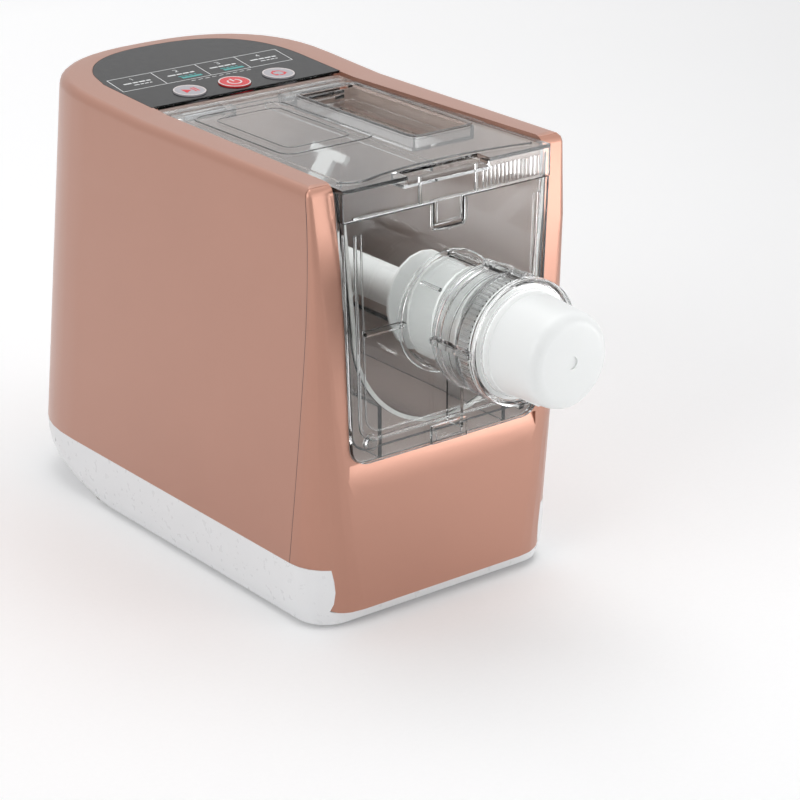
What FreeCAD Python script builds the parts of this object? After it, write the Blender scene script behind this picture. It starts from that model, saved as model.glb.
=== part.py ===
"""Electric pasta maker: housing, drive, mixing bowl, lid, extruder and buttons as separate pieces.

X runs to the right as seen from the front, Y to the back and Z up. The drawing starts at the front
edge of the housing's top, and each finished piece is then moved so that the frame's origin lies on
the floor under the middle of the machine. All sizes are in millimetres.
"""

import FreeCAD, Part
import math
import os
import re

import Sketcher

from FreeCAD import Rotation, Vector

SIZES = [
    # Housing
    ("half_width", 100.0),
    ("top_height", 294.0),
    ("top_rise", 8.0),
    ("rise_start", 185.0),
    ("wall", 3.0),
    ("top_round", 6.0),
    ("face_reach", 7.3),
    ("face_rake", 5.8),
    ("rake_height", 190.0),
    ("corner_top", 3.0),
    ("corner_gain", 28.0),
    ("back_centre", 288.0),
    ("back_lean", 0.15),
    ("back_depth", 89.0),
    ("back_power", 2.5),
    ("base_height", 43.0),
    ("base_floor", 3.0),
    ("base_front", 5.0),
    ("base_corner", 26.0),
    ("base_tuck", 5.0),
    ("base_sweep", 40.0),
    ("base_draw", 14.0),
    ("fascia_low", 12.0),
    ("fascia_inset", 2.0),
    ("fascia_lobe", 22.0),
    ("ledge_height", 9.0),
    ("ledge_depth", 2.4),
    ("joint_line", 0.4),
    # Bay that the bowl slides into
    ("bay_top_half", 81.9),
    ("bay_rear_half", 75.2),
    ("bay_low_half", 75.4),
    ("bay_bottom", 111.5),
    ("bay_corner", 13.0),
    ("bay_back", 202.6),
    ("liner_wall", 2.2),
    ("slide_gap", 0.7),
    # Control panel and buttons
    ("panel_half", 76.0),
    ("panel_centre", 243.0),
    ("panel_depth", 76.0),
    ("panel_front", 203.0),
    ("panel_thick", 1.6),
    ("panel_ledge", 5.0),
    ("button_radius", 11.0),
    ("button_pitch", 36.0),
    ("button_row", 218.0),
    ("button_proud", 0.9),
    ("button_travel", 0.8),
    ("button_gap", 0.3),
    ("button_stem", 3.0),
    ("board_drop", 13.0),
    ("board_half", 60.0),
    ("board_thick", 1.6),
    ("peg_side", 56.0),
    ("peg_front", 212.0),
    ("peg_rear", 288.0),
    ("lid_switch_left", 62.0),
    ("lid_switch_right", 69.0),
    # Bowl, cover and lid
    ("axis_height", 199.0),
    ("bowl_radius", 70.0),
    ("bowl_wall", 2.6),
    ("bowl_back", 186.0),
    ("bowl_top", 288.3),
    ("runner_place", 50.0),
    ("runner_width", 3.0),
    ("flange_front", 5.5),
    ("flange_thick", 3.0),
    ("cover_top", 270.6),
    ("seal_thick", 1.0),
    ("cover_thick", 3.2),
    ("notch_half", 12.6),
    ("notch_depth", 17.0),
    ("lid_thick", 3.0),
    ("lid_gap", 0.3),
    ("lip_height", 20.4),
    ("lip_thick", 2.6),
    ("tongue_half", 11.0),
    ("tongue_drop", 15.0),
    ("grip_half", 34.0),
    ("tray_left", 25.0),
    ("tray_right", 70.0),
    ("tray_front", 56.0),
    ("tray_back", 180.0),
    ("tray_depth", 10.0),
    ("slot_half", 3.0),
    ("hinge_back", 193.5),
    ("hinge_height", 284.5),
    ("hinge_round", 3.8),
    ("pin_radius", 1.6),
    ("pin_play", 0.05),
    # Extruder
    ("barrel_outer", 36.5),
    ("barrel_bore", 32.5),
    ("barrel_nose", 76.0),
    ("flight_radius", 31.8),
    ("core_radius", 10.0),
    ("flight_pitch", 24.0),
    ("flight_thick", 4.0),
    ("flight_back", 24.0),
    ("flight_nose", 73.0),
    ("flight_steps", 20),
    ("paddle_reach", 66.5),
    ("paddle_hub", 13.0),
    ("paddle_front", 32.0),
    ("paddle_back", 176.0),
    ("arm_width", 12.0),
    ("arm_thick", 6.0),
    ("ring_bore", 37.0),
    ("ring_outer", 40.0),
    ("ring_skirt", 42.0),
    ("ring_nose", 84.0),
    ("ring_lip", 4.0),
    ("head_flange", 36.2),
    ("head_back", 33.0),
    ("head_front", 30.5),
    ("nose_reach", 126.0),
    ("head_cavity", 27.5),
    ("head_wall", 3.0),
    ("flange_step", 3.2),
    ("die_half", 18.0),
    ("die_back", 89.0),
    ("die_front", 117.0),
    ("die_thick", 3.0),
    ("die_drop", 23.0),
    ("die_slots", 6),
    ("die_pitch", 5.4),
    ("die_slot", 1.2),
    ("dimple_radius", 4.0),
    # Drive
    ("coarse_module", 1.5),
    ("fine_module", 1.25),
    ("output_teeth", 54),
    ("idler_teeth", 14),
    ("wheel_teeth", 60),
    ("pinion_teeth", 12),
    ("coarse_back", 224.0),
    ("coarse_width", 11.0),
    ("fine_back", 237.0),
    ("fine_width", 8.0),
    ("shaft_radius", 5.0),
    ("spigot_radius", 4.0),
    ("spigot_nose", 190.0),
    ("socket_play", 0.3),
    ("rod_radius", 6.5),
    ("rod_back", 200.0),
    ("run_play", 0.05),
    ("idler_pin", 4.0),
    ("rotor_shaft", 3.0),
    ("case_front", 204.8),
    ("case_back", 242.0),
    ("case_wall", 2.5),
    ("case_half", 47.0),
    ("cover_plate", 3.0),
    ("motor_radius", 36.0),
    ("motor_length", 62.0),
    ("motor_wall", 2.5),
    ("rotor_radius", 31.0),
    ("fan_radius", 30.0),
    ("fan_blades", 7),
    # Feet and fasteners
    ("foot_radius", 9.0),
    ("foot_side", 82.0),
    ("foot_front", 32.0),
    ("foot_rear", 266.0),
    ("foot_sink", 2.0),
    ("screw_side", 60.0),
    ("screw_front", 60.0),
    ("screw_rear", 200.0),
    ("screw_radius", 1.9),
    ("screw_head", 3.6),
    ("vent_half", 35.0),
    ("vent_low", 84.0),
    ("vent_high", 148.0),
    ("vent_slots", 7),
    ("gland_radius", 6.0),
    ("gland_side", 40.0),
    ("gland_height", 31.0),
    ("gland_front", 350.0),
    ("gland_back", 368.5),
    # Power board beside the motor
    ("power_left", -86.0),
    ("power_right", -42.0),
    ("power_front", 216.0),
    ("power_rear", 294.0),
    ("power_lift", 10.0),
]

doc = FreeCAD.newDocument("pasta_maker")
sheet = doc.addObject("Spreadsheet::Sheet", "sizes")
for row, (alias, value) in enumerate(SIZES, start=1):
    sheet.set(f"A{row}", alias)
    sheet.set(f"B{row}", str(value))
    sheet.setAlias(f"B{row}", alias)
doc.recompute()

NAMES = {alias for alias, _ in SIZES}
MIDDLE = "((back_centre + back_depth - back_lean * base_height - nose_reach) / 2)"


def ex(text):
    """Return an expression with each size's name pointing at the sheet."""
    return re.sub(r"[a-z_]+", lambda m: f"sizes.{m.group()}" if m.group() in NAMES else m.group(), str(text))


def num(text):
    """Return the number that an expression of sizes comes to."""
    found = sheet.evalExpression(ex(text))
    return float(getattr(found, "Value", found))


def bind(item, field, text):
    """Tie one property of an object to an expression of sizes."""
    item.setExpression(field, ex(text))


# Simple solids whose sizes follow the sheet

def block(name, left, right, front, back, low, high):
    """Make a box between three pairs of expressions."""
    item = doc.addObject("Part::Box", name)
    bind(item, "Length", f"({right}) - ({left})")
    bind(item, "Width", f"({back}) - ({front})")
    bind(item, "Height", f"({high}) - ({low})")
    bind(item, "Placement.Base.x", left)
    bind(item, "Placement.Base.y", front)
    bind(item, "Placement.Base.z", low)
    return item


def rod(name, side, front, back, height, radius):
    """Make a cylinder along Y."""
    item = doc.addObject("Part::Cylinder", name)
    item.Placement = FreeCAD.Placement(Vector(), Rotation(Vector(1, 0, 0), -90))
    bind(item, "Radius", radius)
    bind(item, "Height", f"({back}) - ({front})")
    bind(item, "Placement.Base.x", side)
    bind(item, "Placement.Base.y", front)
    bind(item, "Placement.Base.z", height)
    return item


def post(name, side, depth, low, high, radius):
    """Make a cylinder along Z."""
    item = doc.addObject("Part::Cylinder", name)
    bind(item, "Radius", radius)
    bind(item, "Height", f"({high}) - ({low})")
    bind(item, "Placement.Base.x", side)
    bind(item, "Placement.Base.y", depth)
    bind(item, "Placement.Base.z", low)
    return item


def bar(name, left, right, depth, height, radius):
    """Make a cylinder along X."""
    item = doc.addObject("Part::Cylinder", name)
    item.Placement = FreeCAD.Placement(Vector(), Rotation(Vector(0, 1, 0), 90))
    bind(item, "Radius", radius)
    bind(item, "Height", f"({right}) - ({left})")
    bind(item, "Placement.Base.x", left)
    bind(item, "Placement.Base.y", depth)
    bind(item, "Placement.Base.z", height)
    return item


def fuse(name, *items):
    """Join solids into one."""
    item = doc.addObject("Part::MultiFuse", name)
    item.Shapes = list(items)
    item.Refine = True
    return item


def cut(name, base, *tools):
    """Cut the tools out of the base."""
    item = doc.addObject("Part::Cut", name)
    item.Base = base
    item.Tool = tools[0] if len(tools) == 1 else fuse(name + "_tools", *tools)
    item.Refine = True
    return item


def common(name, *items):
    """Keep what the solids share."""
    item = doc.addObject("Part::MultiCommon", name)
    item.Shapes = list(items)
    return item


def moulded(name, shape):
    """Hold a freely curved solid as an object of the document."""
    item = doc.addObject("Part::Feature", name)
    item.Shape = shape
    return item


nodes = []


def node(label, *items):
    """Finish one piece: give it its name and move it to the frame's origin."""
    item = items[0]
    if len(items) > 1 or item.TypeId in ("Part::Box", "Part::Cylinder"):
        item = doc.addObject("Part::Compound", label)
        item.Links = list(items)
    item.Label = label
    bind(item, "Placement.Base.y", f"-{MIDDLE}")
    nodes.append(item)
    return item


def origin_plane(body, role):
    """Find one of the body's own origin planes."""
    return next(item for item in body.Origin.OriginFeatures if item.Role == role)


def sketch_on(body, role, along="0", up="0"):
    """Start a sketch on an origin plane, moved along its normal and up."""
    sketch = body.newObject("Sketcher::SketchObject", body.Name + "_sketch")
    sketch.AttachmentSupport = [(origin_plane(body, role), "")]
    sketch.MapMode = "FlatFace"
    bind(sketch, "AttachmentOffset.Base.z", along)
    bind(sketch, "AttachmentOffset.Base.y", up)
    return sketch


def polygon(sketch, corners):
    """Draw a closed outline whose corners each follow a pair of expressions."""
    spots = [Vector(num(first), num(second), 0) for first, second in corners]
    for index, spot in enumerate(spots):
        sketch.addGeometry(Part.LineSegment(spot, spots[(index + 1) % len(spots)]), False)
    for index, (first, second) in enumerate(corners):
        sketch.addConstraint(Sketcher.Constraint("Coincident", index, 1, (index - 1) % len(spots), 2))
        across = sketch.addConstraint(Sketcher.Constraint("DistanceX", -1, 1, index, 1, spots[index].x))
        upward = sketch.addConstraint(Sketcher.Constraint("DistanceY", -1, 1, index, 1, spots[index].y))
        bind(sketch, f"Constraints[{across}]", first)
        bind(sketch, f"Constraints[{upward}]", second)


def circle(sketch, first, second, radius):
    """Draw a circle whose centre and radius follow expressions."""
    spot = Vector(num(first), num(second), 0)
    index = sketch.addGeometry(Part.Circle(spot, Vector(0, 0, 1), num(radius)), False)
    across = sketch.addConstraint(Sketcher.Constraint("DistanceX", -1, 1, index, 3, spot.x))
    upward = sketch.addConstraint(Sketcher.Constraint("DistanceY", -1, 1, index, 3, spot.y))
    size = sketch.addConstraint(Sketcher.Constraint("Radius", index, num(radius)))
    bind(sketch, f"Constraints[{across}]", first)
    bind(sketch, f"Constraints[{upward}]", second)
    bind(sketch, f"Constraints[{size}]", radius)


def padded(label, back, thick, corners, holes=()):
    """Pad an outline drawn in the front view forward from a depth, with round holes left open."""
    body = doc.addObject("PartDesign::Body", label)
    sketch = sketch_on(body, "XZ_Plane", f"-({back})")
    polygon(sketch, corners)
    for side, height, radius in holes:
        circle(sketch, side, height, radius)
    pad = body.newObject("PartDesign::Pad", body.Name + "_pad")
    pad.Profile = sketch
    bind(pad, "Length", thick)
    return body


def turned(label, axis, profile, side="0"):
    """Revolve a profile of depth and radius pairs about an axis along Y at one height."""
    body = doc.addObject("PartDesign::Body", label)
    sketch = sketch_on(body, "YZ_Plane", side, axis)
    polygon(sketch, profile)
    turn = body.newObject("PartDesign::Revolution", body.Name + "_turn")
    turn.Profile = sketch
    turn.ReferenceAxis = (sketch, ["H_Axis"])
    turn.Angle = 360
    return body


def gear(label, teeth, module, back, width, height, bore, turn):
    """Make a spur gear: a bored disc, one tooth and a pattern of that tooth round the axis."""
    body = doc.addObject("PartDesign::Body", label)
    pitch = f"({module} * {teeth} / 2)"
    root = f"({pitch} - 1.2 * {module})"
    disc = sketch_on(body, "XZ_Plane", f"-({back})", height)
    circle(disc, "0", "0", root)
    circle(disc, "0", "0", bore)
    pad = body.newObject("PartDesign::Pad", body.Name + "_disc")
    pad.Profile = disc
    bind(pad, "Length", width)
    doc.recompute()
    tooth = sketch_on(body, "XZ_Plane", f"-({back})", height)
    lean = math.radians(turn)
    corners = []
    for radius, half in ((f"{root} - 0.3 * {module}", 1.1), (f"{pitch} + 0.94 * {module}", 0.32)):
        corners.append((radius, half))
    outline = [(r, -h) for r, h in corners] + [(r, h) for r, h in reversed(corners)]
    cosine, sine = round(math.cos(lean), 9), round(math.sin(lean), 9)
    polygon(tooth, [(f"({r}) * {cosine} - {h} * {module} * {sine}",
                     f"({r}) * {sine} + {h} * {module} * {cosine}") for r, h in outline])
    rise = body.newObject("PartDesign::Pad", body.Name + "_tooth")
    rise.Profile = tooth
    bind(rise, "Length", width)
    doc.recompute()
    ring = body.newObject("PartDesign::PolarPattern", body.Name + "_teeth")
    ring.Originals = [rise]
    ring.Axis = (disc, ["N_Axis"])
    ring.Angle = 360
    bind(ring, "Occurrences", teeth)
    body.Tip = ring
    return body


# Outer form of the housing: level sections whose back leans and whose front corners grow downwards

def corner_radius(height):
    """Plan radius of the front corners, small at the top and large at the base."""
    drop = max(0.0, (num("top_height - top_round") - height) / num("top_height - top_round - base_height"))
    return num("corner_top") + num("corner_gain") * drop ** 1.3


def face_depth(height):
    """Depth of the front face, which rakes back near the top."""
    above = max(0.0, (height - num("rake_height")) / 100)
    return -num("face_reach") + num("face_rake") * above ** 2


def back_spots(half, centre, depth, lift, steps):
    """Points of the rounded back of a plan outline, from its right side round to its left."""
    spots = []
    for step in range(steps + 1):
        angle = math.pi * step / steps
        across = half * math.copysign(abs(math.cos(angle)) ** (2 / num("back_power")), math.cos(angle))
        deep = centre + depth * abs(math.sin(angle)) ** (2 / num("back_power"))
        spots.append(Vector(across, deep, lift(deep)))
    return spots


def strokes(spots):
    """Straight edges from each point to the next."""
    return [Part.LineSegment(start, end).toShape() for start, end in zip(spots, spots[1:])]


def corner_spots(side, half, face, radius, height):
    """Points of a rounded front corner of a plan outline, starting on the front face."""
    angles = [math.pi / 2 * step / 6 for step in range(7)]
    return [Vector(side * (half - radius * (1 - math.sin(angle))), face + radius * (1 - math.cos(angle)), height)
            for angle in angles]


def section(height, inset, slope, front=None, corner=None, centre=None, depth=None):
    """Edge groups of one plan section: front, right corner, sides and back, which rise behind the crease."""
    half = num("half_width") - inset
    face = (face_depth(height) if front is None else front) + inset
    radius = max((corner_radius(height) if corner is None else corner) - inset, 0.8)
    crease = num("rise_start")
    middle = (num("back_centre") - num("back_lean") * (height + slope * 100)) if centre is None else centre
    reach = (num("back_depth") if depth is None else depth) - inset

    def lift(deep):
        """Height of the section's plane at a depth."""
        return height + slope * (deep - crease)

    def side_line(side, start, end):
        """Straight stretch of one side between two depths."""
        first = height if start <= crease else lift(start)
        second = height if end <= crease else lift(end)
        return strokes([Vector(side * half, start, first), Vector(side * half, end, second)])

    return [
        strokes([Vector(radius - half, face, height), Vector(half - radius, face, height)]),
        strokes(corner_spots(1, half, face, radius, height)),
        side_line(1, face + radius, crease),
        side_line(1, crease, middle),
        strokes(back_spots(half, middle, reach, lift, 24)),
        side_line(-1, middle, crease),
        side_line(-1, crease, face + radius),
        strokes(corner_spots(-1, half, face, radius, height)[::-1]),
    ]


def crease_line(edges):
    """Line across a section where its rear part begins to rise."""
    right = edges[2][0].Vertexes[-1].Point
    return Part.LineSegment(right, Vector(-right.x, right.y, right.z)).toShape()


def outline(groups):
    """Join edge groups into one wire."""
    return Part.Wire(Part.__sortEdges__(sum(groups, [])))


def closed_housing(stages):
    """Close lofts through sections with a flat floor and a top in two planes."""
    faces = []
    for stage in stages:
        faces += Part.makeLoft([outline(groups) for groups in stage], False, True).Faces
    first, last = stages[0][0], stages[-1][-1]
    faces.append(Part.Face(outline(first)))
    fold = [crease_line(last)]
    faces.append(Part.Face(outline([last[7], last[0], last[1], last[2], fold, last[6]])))
    faces.append(Part.Face(outline([last[3], last[4], last[5], fold])))
    shell = Part.makeShell(faces)
    shell.sewShape()
    return Part.Solid(shell)


def top_slope():
    """Slope of the top behind the crease."""
    return num("top_rise") / (num("back_centre + back_depth - back_lean * top_height - rise_start"))


def housing(inset, low, rounding, bands):
    """Housing's outer form drawn in by an inset, from a height up to its top in level bands."""
    top = num("top_height") - inset
    shoulder = top - rounding
    walls = [section(low + (shoulder - low) * step / bands, inset, top_slope() * (step == bands))
             for step in range(bands + 1)]
    stages = [walls]
    if rounding:
        turns = [math.pi / 2 * step / 3 for step in range(4)]
        stages.append([section(shoulder + rounding * math.sin(a), inset + rounding * (1 - math.cos(a)), top_slope())
                       for a in turns])
    return closed_housing(stages)


def extruded(wire, travel):
    """Extrude a closed wire along a vector."""
    return Part.Face(wire).extrude(travel)


def box(left, right, front, back, low, high):
    """Plain box between numbers, for trimming moulded solids."""
    return Part.makeBox(right - left, back - front, high - low, Vector(left, front, low))


def front_zone(shift):
    """Space in front of the seam between the fascia and the side walls."""
    heights = [num("top_height") * step / 10 for step in range(12)]
    spots = [Vector(-150, face_depth(z) + corner_radius(z) + shift, z) for z in heights]
    curve = Part.BSplineCurve()
    curve.interpolate(spots)
    low = Vector(-150, -60, spots[0].z)
    high = Vector(-150, -60, spots[-1].z)
    edges = [curve.toShape(), Part.LineSegment(spots[-1], high).toShape(),
             Part.LineSegment(high, low).toShape(), Part.LineSegment(low, spots[0]).toShape()]
    return extruded(Part.Wire(edges), Vector(300, 0, 0))


def lobes(grow):
    """Front-view limit of the fascia: full width above the base, rounded lobes in front of it."""
    half = num("half_width - fascia_inset") + grow
    low = num("fascia_low") - grow
    radius = num("fascia_lobe")
    top = num("base_height") + 1
    slack = radius * (1 - math.sqrt(0.5))
    right = [Vector(half - radius, -60, low), Vector(half - slack, -60, low + slack), Vector(half, -60, low + radius)]
    left = [Vector(-spot.x, spot.y, spot.z) for spot in right]
    corners = [Vector(half, -60, top), Vector(-half, -60, top)]
    edges = [Part.LineSegment(left[0], right[0]).toShape(), Part.Arc(*right).toShape(),
             Part.LineSegment(right[2], corners[0]).toShape(), Part.LineSegment(*corners).toShape(),
             Part.LineSegment(corners[1], left[2]).toShape(), Part.Arc(*reversed(left)).toShape()]
    lower = extruded(Part.Wire(edges), Vector(0, 160, 0))
    return lower.fuse(box(-150, 150, -60, 100, num("base_height") - grow, 400))


def bay_wire(depth, inset, top):
    """Front-view outline of the bay at one depth: tapered sides and rounded lower corners."""
    share = depth / num("bay_back")
    upper = num("bay_top_half") + (num("bay_rear_half") - num("bay_top_half")) * share
    radius = num("bay_corner") - inset
    low = num("bay_bottom") + inset
    waist = low + radius
    half = num("bay_low_half") - inset
    slope = (upper - num("bay_low_half")) / (num("top_height") - waist)
    wide = half + slope * (top - waist)
    slack = radius * (1 - math.sqrt(0.5))
    return Part.Wire([
        Part.LineSegment(Vector(-wide, depth, top), Vector(-half, depth, waist)).toShape(),
        Part.Arc(Vector(-half, depth, waist), Vector(slack - half, depth, low + slack),
                 Vector(radius - half, depth, low)).toShape(),
        Part.LineSegment(Vector(radius - half, depth, low), Vector(half - radius, depth, low)).toShape(),
        Part.Arc(Vector(half - radius, depth, low), Vector(half - slack, depth, low + slack),
                 Vector(half, depth, waist)).toShape(),
        Part.LineSegment(Vector(half, depth, waist), Vector(wide, depth, top)).toShape(),
        Part.LineSegment(Vector(wide, depth, top), Vector(-wide, depth, top)).toShape(),
    ])


def bay(inset, front, back, top):
    """Solid filling the bay between two depths."""
    return Part.makeLoft([bay_wire(front, inset, top), bay_wire(back, inset, top)], True, True)


def trough_wire(depth, inset, top):
    """Front-view outline of the bowl at one depth: a round trough under sloping walls."""
    share = depth / num("bay_back")
    upper = num("bay_top_half - slide_gap") + (num("bay_rear_half") - num("bay_top_half")) * share - inset
    radius = num("bowl_radius + bowl_wall") - inset
    axis = num("axis_height")
    wide = radius + (upper - radius) * (top - axis) / (num("bowl_top") - axis)
    return Part.Wire([
        Part.LineSegment(Vector(-wide, depth, top), Vector(-radius, depth, axis)).toShape(),
        Part.Arc(Vector(-radius, depth, axis), Vector(0, depth, axis - radius), Vector(radius, depth, axis)).toShape(),
        Part.LineSegment(Vector(radius, depth, axis), Vector(wide, depth, top)).toShape(),
        Part.LineSegment(Vector(wide, depth, top), Vector(-wide, depth, top)).toShape(),
    ])


def trough(inset, front, back, top):
    """Solid of the bowl's form between two depths."""
    return Part.makeLoft([trough_wire(front, inset, top), trough_wire(back, inset, top)], True, True)


def panel_prism(inset, front):
    """Upright prism over the panel's rounded outline."""
    half = num("panel_half") - inset
    centre = num("panel_centre")
    base = 200
    curve = Part.BSplineCurve()
    curve.interpolate(back_spots(half, centre, num("panel_depth") - inset, lambda deep: base, 16),
                      InitialTangent=Vector(0, 1, 0), FinalTangent=Vector(0, -1, 0))
    sides = strokes([Vector(-half, centre, base), Vector(-half, front, base), Vector(half, front, base),
                     Vector(half, centre, base)])
    return extruded(Part.Wire(sides + [curve.toShape()]), Vector(0, 0, 150))


def lifted(shape, rise):
    """Return a copy moved up."""
    moved = shape.copy()
    moved.translate(Vector(0, 0, rise))
    return moved


def tray_form(inset, low):
    """Solid form of the base: upright sides, rounded bottom edges and a rear that sweeps up."""
    floor = num("base_floor")
    tall = num("base_height") - floor
    stage = []
    bands = 5
    for step in range(bands + 1):
        height = low + (num("base_height") + (0.5 if inset else 0) - low) * step / bands
        ease = 1 - (1 - min(1, (height - floor) / tall)) ** 3
        centre = num("back_centre - back_lean * base_height - base_sweep") + num("base_sweep") * ease
        depth = num("back_depth - base_draw") + num("base_draw") * ease
        tuck = num("base_tuck") * (1 - ease)
        stage.append(section(height, tuck + inset, 0, -num("base_front"), num("base_corner"), centre, depth))
    return closed_housing([stage])


# Housing pieces

outer_form = housing(0, num("fascia_low"), num("top_round"), 6)
inner_form = housing(num("wall"), num("fascia_low") - 1, 0, 4)
skin = outer_form.cut(inner_form)
bay_space = bay(0, -20, num("bay_back"), 330)
seam = num("joint_line") / 2

fascia_skin = skin.common(front_zone(-seam)).common(lobes(0))
ledge_top = num("bay_bottom")
ledge = Part.Face(Part.makePolygon([
    Vector(-num("bay_low_half"), -40, ledge_top + 1),
    Vector(-num("bay_low_half"), num("ledge_depth - face_reach"), ledge_top + 1),
    Vector(-num("bay_low_half"), num("ledge_depth - face_reach"), ledge_top),
    Vector(-num("bay_low_half"), -num("face_reach"), ledge_top - num("ledge_height")),
    Vector(-num("bay_low_half"), -40, ledge_top - num("ledge_height")),
    Vector(-num("bay_low_half"), -40, ledge_top + 1),
])).extrude(Vector(2 * num("bay_low_half"), 0, 0))
node("front_fascia", moulded("fascia_solid", fascia_skin.cut(bay_space).cut(ledge)))

vent_back = 420
vent_hole = box(-num("vent_half"), num("vent_half"), 300, vent_back, num("vent_low"), num("vent_high"))
panel_recess = panel_prism(-num("button_gap"), num("panel_front") - 1).cut(lifted(outer_form, -num("panel_thick")))
shell_solid = skin.common(box(-150, 150, -60, 420, num("base_height"), 400)).cut(front_zone(seam))
shell_solid = shell_solid.cut(bay_space).cut(vent_hole).cut(panel_recess)
shell_solid = shell_solid.cut(panel_prism(num("panel_ledge"), num("panel_front") - 1))
node("outer_shell", moulded("shell_solid", shell_solid))

vent_skin = skin.common(box(-num("vent_half - joint_line"), num("vent_half - joint_line"), 300, vent_back,
                            num("vent_low + joint_line"), num("vent_high - joint_line")))
slot_pitch = num("(vent_high - vent_low) / (vent_slots + 1)")
for slot in range(int(num("vent_slots"))):
    middle = num("vent_low") + slot_pitch * (slot + 1)
    vent_skin = vent_skin.cut(box(-num("vent_half") + 6, num("vent_half") - 6, 300, vent_back,
                                  middle - slot_pitch / 4, middle + slot_pitch / 4))
node("rear_vent", moulded("vent_solid", vent_skin))

base_shell = tray_form(0, num("base_floor")).cut(tray_form(num("wall"), num("base_floor + wall")))
base_shell = base_shell.cut(skin.common(front_zone(seam)).common(lobes(num("joint_line"))))
SCREWS = [(f"{side} * screw_side", depth) for side in (-1, 1) for depth in ("screw_front", "screw_rear")]
FEET = [(f"{side} * foot_side", depth) for side in (-1, 1) for depth in ("foot_front", "foot_rear")]
BOARD_POSTS = [(side, depth) for side in ("power_left + 4", "power_right - 4")
               for depth in ("power_front + 6", "power_rear - 6")]
FLOOR = "base_floor + wall"
BOARD_LOW = "base_floor + wall + power_lift"
bosses = [post(f"screw_boss_{n}", side, depth, f"{FLOOR} - 0.5", "22", "screw_radius + 3")
          for n, (side, depth) in enumerate(SCREWS)]
bosses += [post(f"board_post_{n}", side, depth, f"{FLOOR} - 0.5", BOARD_LOW, "3")
           for n, (side, depth) in enumerate(BOARD_POSTS)]
bores = [post(f"screw_bore_{n}", side, depth, "base_floor - 2", "20", "screw_radius")
         for n, (side, depth) in enumerate(SCREWS)]
bores += [post(f"screw_sink_{n}", side, depth, "base_floor - 2", "base_floor + 2", "screw_head")
          for n, (side, depth) in enumerate(SCREWS)]
bores += [post(f"foot_sink_{n}", side, depth, "base_floor - 3", "base_floor + foot_sink", "foot_radius")
          for n, (side, depth) in enumerate(FEET)]
bores.append(rod("gland_hole", "-gland_side", 340, 390, "gland_height", "gland_radius"))
node("base_tray", cut("base_solid", fuse("base_with_bosses", moulded("base_shell", base_shell), *bosses), *bores))

node("rubber_feet", *[post(f"foot_{n}", side, depth, 0, "base_floor + foot_sink", "foot_radius")
                      for n, (side, depth) in enumerate(FEET)])
node("housing_screws", *[fuse(f"housing_screw_{n}",
                              post(f"screw_shank_{n}", side, depth, "base_floor + 1", 20, "screw_radius"),
                              post(f"screw_cap_{n}", side, depth, "base_floor + 0.4", "base_floor + 2", "screw_head"))
                         for n, (side, depth) in enumerate(SCREWS)])
node("cord_gland", cut("gland_solid",
                       fuse("gland_body",
                            rod("gland_neck", "-gland_side", "gland_front", "gland_back", "gland_height",
                                "gland_radius"),
                            rod("gland_rim", "-gland_side", "gland_front", "gland_front + 3", "gland_height",
                                "gland_radius + 3")),
                       rod("gland_bore", "-gland_side", 340, 380, "gland_height", "gland_radius - 2.5")))

liner = bay(-num("liner_wall"), -8, num("bay_back + liner_wall"), num("top_height"))
liner = liner.cut(bay_space).common(inner_form)
node("bay_liner", cut("liner_solid", moulded("liner_sheet", liner),
                      rod("liner_hole", 0, "bay_back - 1", "bay_back + 4", "axis_height", "rod_radius + 4")))

# Control panel, board and buttons

BUTTONS = {"left": "-button_pitch", "centre": "0", "right": "button_pitch"}
panel_plate = panel_prism(0, num("panel_front")).common(outer_form).cut(lifted(outer_form, -num("panel_thick")))
BOARD = "(top_height - board_drop)"
BOARD_TOP = "(top_height - board_drop + board_thick)"
CAP_LOW, CAP_HIGH = "top_height - 14", "top_height + 26"
PEGS = [(side, depth) for side in ("-peg_side", "peg_side") for depth in ("peg_front", "peg_rear")]
panel_pegs = fuse("panel_pegs", *[post(f"panel_peg_{n}", side, depth, BOARD_TOP, CAP_HIGH, 3)
                                  for n, (side, depth) in enumerate(PEGS)])
peg_limit = moulded("peg_limit", lifted(outer_form, -0.5))
panel_body = fuse("panel_body", moulded("panel_plate", panel_plate), common("panel_feet", panel_pegs, peg_limit))
node("control_panel", cut("panel_solid", panel_body,
                          *[post(f"button_hole_{name}", side, "button_row", CAP_LOW, CAP_HIGH, "button_radius + button_gap")
                            for name, side in BUTTONS.items()]))
SWITCH_TOP = f"{BOARD_TOP} + 5.4"
above_cap = moulded("above_cap", lifted(outer_form, num("button_proud")))
cap_floor = moulded("cap_floor", lifted(outer_form, -num("panel_thick") - 2.6))
rim_roof = moulded("rim_roof", lifted(outer_form, -num("panel_thick + button_gap")))
for name, side in BUTTONS.items():
    cap = cut(f"cap_{name}", common(f"cap_form_{name}", above_cap,
                                    post(f"cap_round_{name}", side, "button_row", CAP_LOW, CAP_HIGH, "button_radius")),
              cap_floor)
    rim = cut(f"rim_{name}", common(f"rim_form_{name}", rim_roof,
                                    post(f"rim_round_{name}", side, "button_row", CAP_LOW, CAP_HIGH, "button_radius + 2")),
              cap_floor)
    stem = post(f"stem_{name}", side, "button_row", f"{SWITCH_TOP} + button_travel + 0.1", "top_height + 0.5",
                "button_stem")
    node(f"button_{name}", fuse(f"button_solid_{name}", cap, rim, stem))
node("control_board", block("control_board_plate", "-board_half", "board_half", "peg_front - 5", "peg_rear + 10", BOARD,
                            BOARD_TOP))
node("button_switches", *[fuse(f"switch_{name}",
                               block(f"switch_case_{name}", f"{side} - 3", f"{side} + 3", "button_row - 3",
                                     "button_row + 3", BOARD_TOP, f"{BOARD_TOP} + 4"),
                               post(f"switch_plunger_{name}", side, "button_row", f"{BOARD_TOP} + 3",
                                    SWITCH_TOP, 1.7))
                          for name, side in BUTTONS.items()])
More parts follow.
